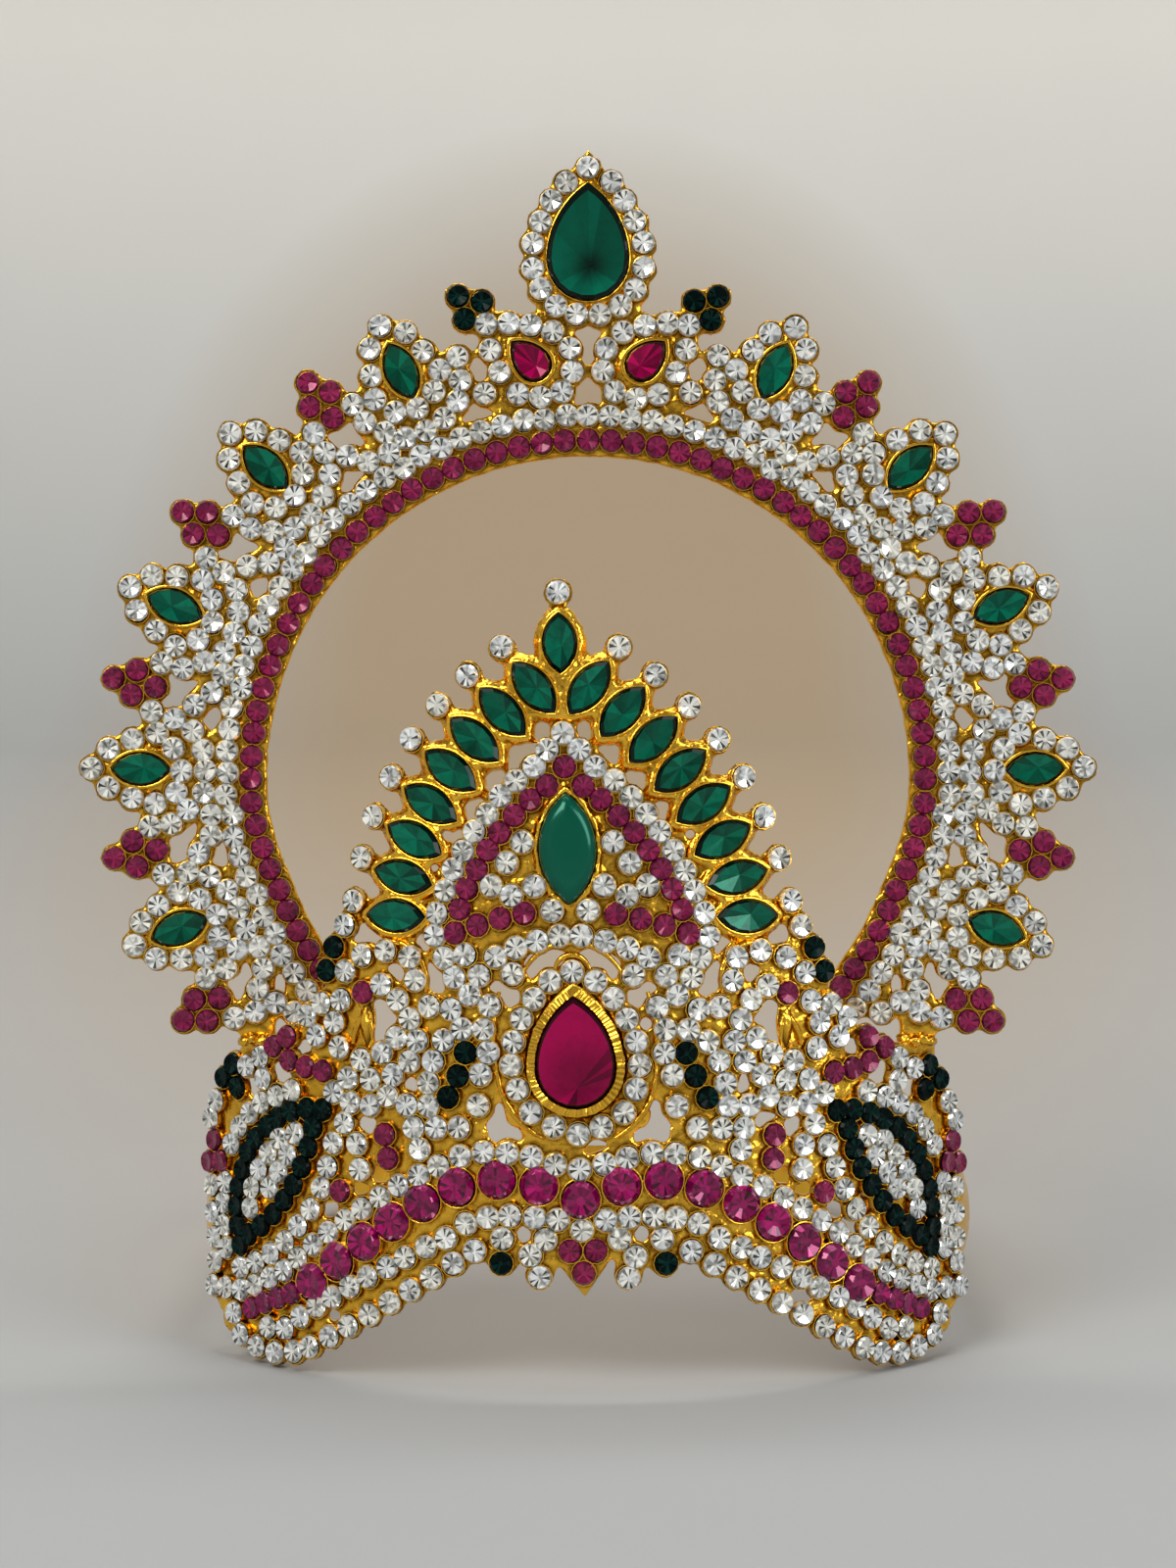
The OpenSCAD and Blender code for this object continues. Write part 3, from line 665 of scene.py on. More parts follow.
def eased(points, fixed, least=2.78, most=0.5):
    """The points pushed off their neighbours, none of them by more than half a millimetre."""
    start = np.array(points, float)
    fixed = np.array(fixed, float)
    moved = start.copy()
    for _ in range(24):
        gap = moved[:, None, :] - np.vstack([moved, fixed])[None, :, :]
        far = np.linalg.norm(gap, axis=2)
        np.fill_diagonal(far, least)
        push = np.clip(least - far, 0, None) / np.maximum(far, 0.1)
        moved += 0.4 * (gap * push[:, :, None]).sum(axis=1)
        slip = moved - start
        length = np.linalg.norm(slip, axis=1, keepdims=True)
        moved = start + slip * np.minimum(1, most / np.maximum(length, 1e-6))
    return [tuple(p) for p in moved.tolist()]


# A clear stone nearer than this to another stone is left out, in millimetres
LEAST_APART = 2.1
BIG_PLACES = both_sides(rows(BAND_RUBY)) + [BAND_RUBY_MIDDLE]
PLATE_RUBIES = (
    [CREST_RUBY_TOP] + both_sides(rows(CREST_RUBY)) + both_sides(rows(PLATE_RUBY))
    + both_sides(rows(BAND_END_RUBY)) + [PENDANT_RUBY]
)
PLATE_DARKS = both_sides(rows(LEAF_DARK)) + both_sides(rows(PLATE_DARK))
CREST_TIPS = both_sides([crest_tip(i) for i in range(len(CREST_AT))])
PLATE_CLEARS = eased(apart(
    [(0, z) for z in PLATE_CLEAR_MIDDLE] + CREST_TIPS + both_sides(rows(PLATE_CLEAR)),
    PLATE_RUBIES + PLATE_DARKS, LEAST_APART,
), PLATE_RUBIES + PLATE_DARKS)
HALO_RUBIES = ring_row(RUBY_ROW_N, RUBY_ROW_END, RUBY_ROW_R) + cluster_stones()
HALO_DARKS = both_sides(HALO_DARK)
HALO_CLEARS = eased(apart(
    ring_row(CLEAR_ROW_N, CLEAR_ROW_END, CLEAR_ROW_R)
    + both_sides([polar(petal_angle(i) + a, r) for i in range(PETALS) for a, r in PETAL])
    + both_sides([polar(a, r) for a, r in HALO_END])
    + both_sides(rows(HALO_TOP)) + [HALO_TOP_STONE],
    HALO_RUBIES + HALO_DARKS, LEAST_APART,
), HALO_RUBIES + HALO_DARKS)
PLATE_SMALLS = PLATE_CLEARS + PLATE_RUBIES + PLATE_DARKS
HALO_SMALLS = HALO_CLEARS + HALO_RUBIES + HALO_DARKS


# Materials

WHITE = (1.0, 1.0, 1.0)
GLASS_IOR = 1.5
# How far from its place an eye's painted dark spot can change, in millimetres
EYE_REACH = 10


def new_material(name):
    material = bpy.data.materials.new(name)
    material.use_nodes = True
    nodes = material.node_tree.nodes
    nodes.clear()
    shader = nodes.new("ShaderNodeBsdfPrincipled")
    output = nodes.new("ShaderNodeOutputMaterial")
    material.node_tree.links.new(shader.outputs["BSDF"], output.inputs["Surface"])
    return material, material.node_tree, shader


def put(node, values):
    """Gives the node's inputs their values, by name."""
    for name, value in values.items():
        node.inputs[name].default_value = value


def object_place(tree):
    return tree.nodes.new("ShaderNodeTexCoord").outputs["Object"]


def attribute(tree, name):
    node = tree.nodes.new("ShaderNodeAttribute")
    node.attribute_name = name
    return node.outputs["Fac"]


def ramp(tree, source, stops):
    node = tree.nodes.new("ShaderNodeValToRGB")
    elements = node.color_ramp.elements
    while len(elements) < len(stops):
        elements.new(0.5)
    for element, (place, colour) in zip(elements, stops):
        element.position = place
        element.color = (*colour, 1.0)
    tree.links.new(source, node.inputs["Fac"])
    return node.outputs["Color"]


def noise(tree, scale, detail=3.0, roughness=0.55):
    node = tree.nodes.new("ShaderNodeTexNoise")
    put(node, {"Scale": scale, "Detail": detail, "Roughness": roughness})
    tree.links.new(object_place(tree), node.inputs["Vector"])
    return node.outputs["Fac"]


def mix_colour(tree, mode, factor, a, b):
    node = tree.nodes.new("ShaderNodeMix")
    node.data_type = "RGBA"
    node.blend_type = mode
    node.inputs["Factor"].default_value = 1.0
    if isinstance(factor, float):
        node.inputs["Factor"].default_value = factor
    else:
        tree.links.new(factor, node.inputs["Factor"])
    for value, socket in ((a, node.inputs[6]), (b, node.inputs[7])):
        if isinstance(value, tuple):
            socket.default_value = (*value, 1.0)
        else:
            tree.links.new(value, socket)
    return node.outputs[2]


def to_range(tree, source, low, high, out_low, out_high):
    node = tree.nodes.new("ShaderNodeMapRange")
    put(node, {"From Min": low, "From Max": high, "To Min": out_low, "To Max": out_high})
    tree.links.new(source, node.inputs["Value"])
    return node.outputs["Result"]


def bump(tree, shader, height, strength, distance, under=None):
    """Adds a height to the shader's normal, over another bump if one is given."""
    node = tree.nodes.new("ShaderNodeBump")
    put(node, {"Strength": strength, "Distance": distance})
    tree.links.new(height, node.inputs["Height"])
    if under:
        tree.links.new(under.outputs["Normal"], node.inputs["Normal"])
    tree.links.new(node.outputs["Normal"], shader.inputs["Normal"])
    return node


def cast_gold(name, bright, deep, roughest, relief):
    """Plated cast metal: bright on its ridges, with a painted shade of dark brown in its hollows."""
    material, tree, shader = new_material(name)
    put(shader, {"Metallic": 1.0})
    geometry = tree.nodes.new("ShaderNodeNewGeometry")
    # Painted shade: low pointiness and the stored shade attribute darken the plating towards the
    # hollow colour
    ridge = to_range(tree, geometry.outputs["Pointiness"], 0.455, 0.512, 0.35, 1.0)
    both = tree.nodes.new("ShaderNodeMath")
    both.operation = "MULTIPLY"
    tree.links.new(ridge, both.inputs[0])
    tree.links.new(attribute(tree, "unshaded"), both.inputs[1])
    shaded_colour = mix_colour(tree, "MIX", both.outputs[0], deep, bright)
    cloud = noise(tree, 330, 3.0)
    patch = ramp(tree, cloud, ((0.3, (0.8, 0.75, 0.62)), (0.6, WHITE)))
    tree.links.new(mix_colour(tree, "MULTIPLY", 1.0, shaded_colour, patch), shader.inputs["Base Color"])
    fine = noise(tree, 2200, 4.0, 0.6)
    tree.links.new(
        to_range(tree, fine, 0.3, 0.7, 0.12, roughest), shader.inputs["Roughness"])
    dents = bump(tree, shader, noise(tree, 750, 1.5), 1.0, relief)
    bump(tree, shader, fine, 0.3, 0.0001, dents)
    return material


def polished_gold(name, bright, deep):
    """The strip's smooth plating, with faint wiping marks along it."""
    material, tree, shader = new_material(name)
    put(shader, {"Metallic": 1.0})
    cloud = noise(tree, 90, 3.0)
    tree.links.new(ramp(tree, cloud, ((0.35, deep), (0.65, bright))), shader.inputs["Base Color"])
    fine = noise(tree, 900, 4.0)
    tree.links.new(to_range(tree, fine, 0.3, 0.7, 0.16, 0.28), shader.inputs["Roughness"])
    bump(tree, shader, fine, 0.05, 0.00003)
    return material


def foil_stone(name, shades, metallic, roughness, coat, gloss, tint_low=WHITE, tint_high=WHITE,
               patches=WHITE, eyes=()):
    """Foil-backed glass under a clear coat: each facet a painted reflection shade, each stone its own
    tone.

    An eye is a painted dark reflection spot that fades away from its place: the place, and the
    shade by distance in millimetres.
    """
    material, tree, shader = new_material(name)
    # Painted reflection: the facet shade makes each facet light or dark, as foil under glass reflects
    # light
    colour = ramp(tree, attribute(tree, "facet"), shades)
    tint = ramp(tree, attribute(tree, "tone"), ((0.0, tint_low), (1.0, tint_high)))
    # Painted reflection: dark noise patches across the facets
    depth = ramp(tree, noise(tree, 1150, 1.0), ((0.36, patches), (0.5, WHITE)))
    tinted = mix_colour(tree, "MULTIPLY", 1.0, colour, tint)
    result = mix_colour(tree, "MULTIPLY", 1.0, tinted, depth)
    for place, fading in eyes:
        apart_by = tree.nodes.new("ShaderNodeVectorMath")
        apart_by.operation = "DISTANCE"
        tree.links.new(object_place(tree), apart_by.inputs[0])
        apart_by.inputs[1].default_value = place
        reach = to_range(tree, apart_by.outputs["Value"], 0.0, EYE_REACH * MM, 0.0, 1.0)
        eye = ramp(tree, reach, [(d / EYE_REACH, (v, v, v)) for d, v in fading])
        result = mix_colour(tree, "MULTIPLY", 1.0, result, eye)
    tree.links.new(result, shader.inputs["Base Color"])
    put(shader, {
        "Metallic": metallic, "Roughness": roughness, "IOR": GLASS_IOR,
        "Specular IOR Level": gloss, "Coat Weight": coat, "Coat Roughness": 0.03,
        "Coat IOR": GLASS_IOR,
    })
    return material


def plain_stage(name, middle, floor, wall):
    """A pale matt backdrop: greyer on the floor, with a painted warm shadow behind the crown."""
    material, tree, shader = new_material(name)
    place = object_place(tree)
    split = tree.nodes.new("ShaderNodeSeparateXYZ")
    tree.links.new(place, split.inputs["Vector"])
    height = to_range(tree, split.outputs["Z"], 0.0, 0.25, 0.0, 1.0)
    plain = mix_colour(tree, "MIX", height, floor, wall)
    mapping = tree.nodes.new("ShaderNodeMapping")
    mapping.vector_type = "TEXTURE"
    put(mapping, {"Location": PAINTED_SHADOW_AT, "Scale": PAINTED_SHADOW_SIZE})
    length = tree.nodes.new("ShaderNodeVectorMath")
    length.operation = "LENGTH"
    tree.links.new(place, mapping.inputs["Vector"])
    tree.links.new(mapping.outputs["Vector"], length.inputs[0])
    # Painted shadow: the colour middle fades out to the plain colours away from the spot
    away = to_range(tree, length.outputs["Value"], 0.45, 0.97, 0.0, 1.0)
    base = mix_colour(tree, "MIX", away, middle, plain)
    speck = ramp(tree, noise(tree, 12, 2.0), ((0.3, (0.98, 0.98, 0.98)), (0.7, WHITE)))
    tree.links.new(mix_colour(tree, "MULTIPLY", 1.0, base, speck), shader.inputs["Base Color"])
    put(shader, {"Roughness": 0.85})
    return material


# What a user would change

def colour_setting(name, description, default):
    return FloatVectorProperty(name=name, description=description, subtype="COLOR", size=3,
                               min=0.0, max=1.0, default=default)


class MetalSettings(bpy.types.PropertyGroup):
    """Sizes and colours of the cast metal."""

    gold: colour_setting(
        "Gold", "Colour of the plating where it is bright", (1.0, 0.57, 0.055))
    # Painted shade: the dark brown that the hollows and the stone edges are painted
    hollow_shade: colour_setting(
        "Hollows", "Colour of the plating in its hollows", (0.14, 0.048, 0.003))
    grain: FloatProperty(
        name="Mesh size", description="Size of the faces that carry the cast surface",
        unit="LENGTH", default=0.00036, min=0.0002, max=0.001, precision=5)
    relief: FloatProperty(
        name="Cast relief", description="Height of the unevenness of the cast surface",
        unit="LENGTH", default=0.00034, min=0.0, max=0.001, precision=5)


class StoneSettings(bpy.types.PropertyGroup):
    """Sizes and colours of the stones."""

    small: FloatProperty(
        name="Small stones", description="Diameter of the small round stones",
        unit="LENGTH", default=0.00292, min=0.002, max=0.0032, precision=5)
    big: FloatProperty(
        name="Band rubies", description="Diameter of the big rubies of the band",
        unit="LENGTH", default=0.0047, min=0.003, max=0.005, precision=5)
    ruby: colour_setting(
        "Small rubies", "Colour of the small plum-red stones", (0.18, 0.009, 0.05))
    magenta: colour_setting(
        "Big rubies", "Colour of the band's big stones", (0.25, 0.002, 0.08))
    green: colour_setting(
        "Emeralds", "Colour of the marquises and the top pear", (0.0, 0.10, 0.058))


class StageSettings(bpy.types.PropertyGroup):
    """The backdrop and the lights."""

    backdrop: colour_setting(
        "Backdrop", "Colour of the floor and the backdrop", (0.55, 0.545, 0.515))
    light: FloatProperty(
        name="Light", description="Strength of the soft lights, as a multiple",
        subtype="FACTOR", default=1.0, min=0.1, max=4.0)


def shades_of(colour, levels):
    return tuple((place, tuple(min(1.0, c * level) for c in colour)) for place, level in levels)


MATERIALS = {}


def material_of(name, maker, *values, **named):
    """The material of that name, made the first time that it is asked for."""
    if name not in MATERIALS:
        MATERIALS[name] = maker(name, *values, **named)
    return MATERIALS[name]


def gold_casting(context):
    metal = context.scene.crown_metal
    return material_of("Cast gold", cast_gold, tuple(metal.gold), tuple(metal.hollow_shade),
                       roughest=0.3, relief=0.00035)


def gold_rims(context):
    metal = context.scene.crown_metal
    return material_of("Rim gold", cast_gold, tuple(metal.gold), tuple(metal.hollow_shade),
                       roughest=0.26, relief=0.0001)


# Pieces

# How much of the CAD bezels' height stays under their finer rims
BEZEL_KEPT = {"front_plate": 0.7, "halo": 0.25}


def lower_bezels(mesh, node):
    """Lowers the node's own bezels, because their finer rims are built apart."""
    back = RESTING.inverted()
    part = BEZEL_KEPT[node]
    for point in mesh.vertices:
        p = back @ point.co
        if node == "halo":
            if p.y < -HALO_FRONT:
                p.y = -HALO_FRONT + part * (p.y + HALO_FRONT)
        else:
            out = math.hypot(p.x, p.y)
            if out > FACE_R:
                kept = (FACE_R + part * (out - FACE_R)) / out
                p.x *= kept
                p.y *= kept
        point.co = RESTING @ p


def mark_painted_shade(obj, edges):
    """Keeps on each point its painted shade: 0 (full shade) beside a stone's edge, 1 from 0.57 mm
    off.
    """
    tree = KDTree(len(edges))
    for i, edge in enumerate(edges):
        tree.insert(edge, i)
    tree.balance()
    near = np.array([tree.find(v.co)[2] for v in obj.data.vertices], np.float32) / MM
    keep_values(obj.data, "unshaded", "POINT", np.clip((near - 0.12) / 0.45, 0, 1))


def even_painted_shade(obj):
    """Keeps the same share of painted shade on every point of a piece that holds no stones."""
    keep_values(obj.data, "unshaded", "POINT", np.full(len(obj.data.vertices), 0.8))


def stone_edges(node):
    """Points near the edges of all the stones that the plate or the halo carries."""
    small = circle_outline(1.5, 22)
    if node == "halo":
        sets = (
            ([on_halo(p) for p in HALO_SMALLS], small),
            (halo_places(), marquise_outline(4.9, 8.6, 14)),
            ([on_halo((0, TOP_PEAR_Z))], pear_outline(11, 10.2, 20)),
            (small_pear_places(), pear_outline(5.2, 4.6, 10)),
        )
    else:
        sets = (
            ([on_plate(p) for p in PLATE_SMALLS], small),
            ([on_plate(p) for p in BIG_PLACES], circle_outline(2.3, 30)),
            (crest_places(), marquise_outline(4.9, 9, 14)),
            ([on_plate((0, CREST_TOP_Z))], marquise_outline(5, 8.4, 14)),
            ([on_plate((0, CENTRE_STONE_Z))], marquise_outline(7.8, 14.6, 24)),
            ([on_plate((0, RUBY_PEAR_Z))], pear_outline(12.2, 10, 24)),
        )
    return [m @ Vector((x, y, 0))
            for matrices, outline in sets for m in matrices for x, y in outline]


def cast_piece(context, node, name):
    """The node's own shape with soft cast edges and an uneven surface."""
    metal = context.scene.crown_metal
    deselect()
    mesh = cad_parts[node].data.copy()
    obj = add_object(name, mesh)
    edit(obj, "VERT")
    bpy.ops.mesh.select_all(action="SELECT")
    bpy.ops.mesh.remove_doubles(threshold=0.000002)
    leave_edit()
    lower_bezels(mesh, node)
    remesh = obj.modifiers.new("Even faces", "REMESH")
    remesh.mode = "VOXEL"
    remesh.voxel_size = metal.grain
    melt = obj.modifiers.new("Melted edges", "SMOOTH")
    melt.factor = 0.5
    melt.iterations = 3
    clouds = bpy.data.textures.new(name + "_clouds", "CLOUDS")
    clouds.noise_scale = 0.0017
    clouds.noise_depth = 2
    uneven = obj.modifiers.new("Cast surface", "DISPLACE")
    uneven.texture = clouds
    uneven.texture_coords = "LOCAL"
    uneven.strength = metal.relief
    apply_all(obj)
    bpy.ops.object.shade_smooth()
    mark_painted_shade(obj, stone_edges(node))
    return finish_piece(obj, gold_casting(context), (node,))


class CROWN_OT_cast_plate(bpy.types.Operator):
    """Cast the bent front plate with its crest"""

    bl_idname = "crown.cast_plate"
    bl_label = "Cast front plate"

    def execute(self, context):
        cast_piece(context, "front_plate", "cast_front_plate")
        return {"FINISHED"}


class CROWN_OT_cast_halo(bpy.types.Operator):
    """Cast the flat halo"""

    bl_idname = "crown.cast_halo"
    bl_label = "Cast halo"

    def execute(self, context):
        cast_piece(context, "halo", "cast_halo")
        return {"FINISHED"}


class CROWN_OT_strip(bpy.types.Operator):
    """Give the plain strip its smooth plating"""

    bl_idname = "crown.strip"
    bl_label = "Plate the strip"

    def execute(self, context):
        metal = context.scene.crown_metal
        plating = material_of("Smooth gold", polished_gold, tuple(metal.gold),
                              tuple(0.8 * c for c in metal.gold))
        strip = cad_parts["back_band"]
        for place in strip.material_slots:
            place.link = "OBJECT"
            place.material = plating
        return {"FINISHED"}


class CROWN_OT_cups(bpy.types.Operator):
    """Set a thin gold cup round every round stone"""

    bl_idname = "crown.cups"
    bl_label = "Stone cups"

    def execute(self, context):
        deselect()
        stones = context.scene.crown_stones
        small = stones.small / MM / 2
        big = stones.big / MM / 2
        material = gold_rims(context)
        cup = rim_template(circle_outline(small + 0.05, 12), 0.1, -0.35, 0.6, 0.1, 0, "cup")
        big_cup = rim_template(circle_outline(big + 0.06, 20), 0.18, -0.35, 0.8, 0.1, 0.06, "big_cup")
        plate_cups = copies(cup, loosened([on_plate(p) for p in PLATE_SMALLS], 3, 1.0, 0.0),
                            "plate_cups", 4, keep=True)
        big_cups = copies(big_cup, loosened([on_plate(p) for p in BIG_PLACES], 5, 1.0, 0.0),
                          "big_cups", 6)
        halo_cups = copies(cup, loosened([on_halo(p) for p in HALO_SMALLS], 7, 1.0, 0.0),
                           "halo_cups", 8)
        plate_cups = join([plate_cups, big_cups], "plate_cups")
        for obj in (plate_cups, halo_cups):
            choose(obj)
            bpy.ops.object.shade_smooth_by_angle(angle=math.radians(40))
            finish_piece(obj, material)
        return {"FINISHED"}


def crest_places():
    """The crest marquises' places in the order of their nodes, after the top one."""
    return [on_plate((s * CREST_AT[i][0], CREST_AT[i][1]), s * crest_turn(i))
            for i in range(len(CREST_AT)) for s in SIDES]


def halo_places():
    """The halo marquises' places in the order of their nodes."""
    return [on_halo(polar(s * petal_angle(i), PETAL_R), s * petal_angle(i))
            for i in range(PETALS) for s in SIDES]


# The bezels: their gap round the stone, how far their walls reach in, the floor inside
BEZEL_GAP = 0.07
BEZEL_FOOT = -0.4
RIM_FLOOR = 0.08


class CROWN_OT_bezels(bpy.types.Operator):
    """Build the raised walls that hold the marquises and the pears"""

    bl_idname = "crown.bezels"
    bl_label = "Bezels"

    def execute(self, context):
        deselect()
        # Name, outline of the stone, thickness and height of the wall, places
        walls = (
            ("crest_bezels", marquise_outline(*CREST_STONE, 12), 0.25, 0.85, crest_places()),
            ("crest_top_bezel", marquise_outline(*CREST_TOP, 12), 0.25, 0.85,
             [on_plate((0, CREST_TOP_Z))]),
            ("halo_bezels", marquise_outline(*HALO_STONE, 12), 0.35, 0.95, halo_places()),
            ("centre_bezel", marquise_outline(*CENTRE_STONE, 20), 0.25, 0.5,
             [on_plate((0, CENTRE_STONE_Z))]),
            ("top_pear_bezel", pear_outline(*TOP_PEAR, 16), 0.2, 0.8,
             [on_halo((0, TOP_PEAR_Z))]),
            ("small_pear_bezels", pear_outline(*SMALL_PEAR, 10), 0.45, 1.0,
             small_pear_places()),
        )
        parts = []
        for name, outline, wall, high, places in walls:
            template = rim_template(
                widened(outline, BEZEL_GAP), wall, BEZEL_FOOT, high, RIM_FLOOR, 0.1, name)
            parts.append(copies(template, places, name, 11))
        bezels = join(parts, "stone_bezels")
        choose(bezels)
        bpy.ops.object.shade_smooth_by_angle(angle=math.radians(35))
        finish_piece(bezels, gold_rims(context))

        milled = self.milled_bezel()
        finish_piece(milled, gold_rims(context))
        return {"FINISHED"}

    def milled_bezel(self):
        """The big pear's bezel, with radial cuts across its rim."""
        outline = widened(pear_outline(*RUBY_PEAR, 52), 0.1)
        wall, high = 0.95, 1.75
        obj = rim_template(outline, wall, BEZEL_FOOT, high, RIM_FLOOR, 0, "milled_bezel")
        edit(obj, "VERT")
        rim = bmesh.from_edit_mesh(obj.data)
        rim.verts.ensure_lookup_table()
        tops = [v for v in rim.verts if abs(v.co.z - high) < 1e-4]
        tops.sort(key=lambda v: (round(math.atan2(v.co.y - 1, v.co.x), 3), v.co.length))
        outer = tops[1::2]
        inner = tops[0::2]
        for v in rim.verts:
            v.select_set(False)
        for ring in (outer, inner):
            for v in ring[::2]:
                v.select_set(True)
        bmesh.update_edit_mesh(obj.data)
        bpy.ops.transform.translate(value=(0, 0, -0.08))
        bpy.ops.transform.vertex_random(offset=0.07, uniform=0.5, seed=3)
        leave_edit()
        return copies(obj, [on_plate((0, RUBY_PEAR_Z))], "milled_bezel", 13)


class CROWN_OT_ridges(bpy.types.Operator):
    """Draw the raised gold lines and buds of the casting"""

    bl_idname = "crown.ridges"
    bl_label = "Raised lines"

    def execute(self, context):
        deselect()
        lines = [[on_plate((s * x, z), lift=RIDGE_LIFT).translation for x, z in arc_row(row)]
                 for s in SIDES for row in PLATE_RIDGE]
        lines += [[on_plate(p, lift=ARCH_LIFT).translation for p in arc_row(row)]
                  for row in PLATE_ARCH]
        curve = bpy.data.curves.new("gold_ridges", "CURVE")
        curve.dimensions = "3D"
        curve.bevel_depth = RIDGE_R * MM
        curve.bevel_resolution = 2
        curve.use_fill_caps = True
        for points in lines:
            spline = curve.splines.new("POLY")
            spline.points.add(len(points) - 1)
            last = len(points) - 1
            for i, p in enumerate(points):
                spline.points[i].co = (*p, 1.0)
                spline.points[i].radius = 0.55 + 0.45 * math.sin(math.pi * i / last)
        choose(add_object("gold_ridges", curve))
        bpy.ops.object.convert(target="MESH")
        ridges = bpy.context.object
        bpy.ops.object.shade_smooth()

        bud = slab(marquise_outline(1.9, 6.2, 8), "wing_bud", -0.5, 0.15)
        raise_top(0.75, 0.35)
        leave_edit()
        buds = copies(bud, [on_plate((s * WING_BUD[0], WING_BUD[1])) for s in SIDES],
                      "wing_buds", 15)
        even_painted_shade(ridges)
        joined = join([ridges, buds], "gold_ridges")
        finish_piece(joined, gold_casting(context))
        return {"FINISHED"}


# The solder's lumps in each seam: across and up from its middle, and their half sizes
SOLDER_LUMPS = (
    (-1.6, 0.15, (0.95, 1.15, 0.75)), (-0.4, -0.2, (1.1, 1.3, 0.85)),
    (0.8, 0.1, (0.9, 1.2, 0.8)), (1.75, -0.15, (0.8, 1.1, 0.7)),
)


class CROWN_OT_solder(bpy.types.Operator):
    """Melt the solder where the halo and the strip join the plate"""

    bl_idname = "crown.solder"
    bl_label = "Solder"

    def execute(self, context):
        deselect()
        blobs = []
        places = [((s * (SOLDER[0] + across), SOLDER_Y, SOLDER[1] + up), size)
                  for s in SIDES for across, up, size in SOLDER_LUMPS]
        foot = math.radians(FOOT_ANGLE)
        inside = FACE_R - FOOT_INSIDE
        places += [((s * inside * math.sin(foot), -inside * math.cos(foot), z), FOOT_LUMP)
                   for s in SIDES for z in FOOT_HEIGHTS]
        for k, (place, size) in enumerate(places):
            bpy.ops.mesh.primitive_ico_sphere_add(
                subdivisions=3, radius=MM, location=RESTING @ Vector(place))
            blob = bpy.context.object
            blob.scale = size
            bpy.ops.object.transform_apply(location=True, scale=True)
            lumps = bpy.data.textures.new("solder_lumps_%d" % k, "CLOUDS")
            lumps.noise_scale = 0.0009
            uneven = blob.modifiers.new("Lumps", "DISPLACE")
            uneven.texture = lumps
            uneven.strength = 0.0007
            apply_all(blob)
            blobs.append(blob)
        joined = join(blobs, "solder_joints")
        even_painted_shade(joined)
        bpy.ops.object.shade_smooth()
        finish_piece(joined, gold_casting(context))
        return {"FINISHED"}


# Painted reflections of the clear stones, near black for the painted shade of the girdle
SHADE_CLEAR = (
    (0.0, (0.03, 0.026, 0.018)), (0.25, (0.12, 0.115, 0.10)), (0.5, (0.52, 0.53, 0.53)),
    (0.8, (0.8, 0.8, 0.77)), (1.0, (1.0, 1.0, 0.96)),
)
SHADE_LEVELS = ((0.0, 0.12), (0.2, 0.55), (0.5, 0.95), (1.0, 1.7))


class CROWN_OT_clear_stones(bpy.types.Operator):
    """Set the clear stones of the plate and the halo"""

    bl_idname = "crown.clear_stones"
    bl_label = "Clear stones"

    def execute(self, context):
        deselect()
        diameter = context.scene.crown_stones.small / MM
        material = material_of(
            "Clear foil stone", foil_stone, SHADE_CLEAR,
            metallic=0.4, roughness=0.1, coat=1.0, gloss=0.5,
            tint_low=(0.93, 0.96, 1.0), tint_high=(1.0, 0.99, 0.93), patches=(0.4, 0.4, 0.38))
        stone = round_stone_template(diameter, SMALL_CUT)
        plate = copies(stone, loosened([on_plate(p) for p in PLATE_CLEARS], 21, 3.0, 0.05),
                       "plate_clear_stones", 22, SPARKLING, keep=True)
        halo = copies(stone, loosened([on_halo(p) for p in HALO_CLEARS], 23, 3.0, 0.05),
                      "halo_clear_stones", 24, SPARKLING)
        for obj in (plate, halo):
            finish_piece(obj, material)
        return {"FINISHED"}


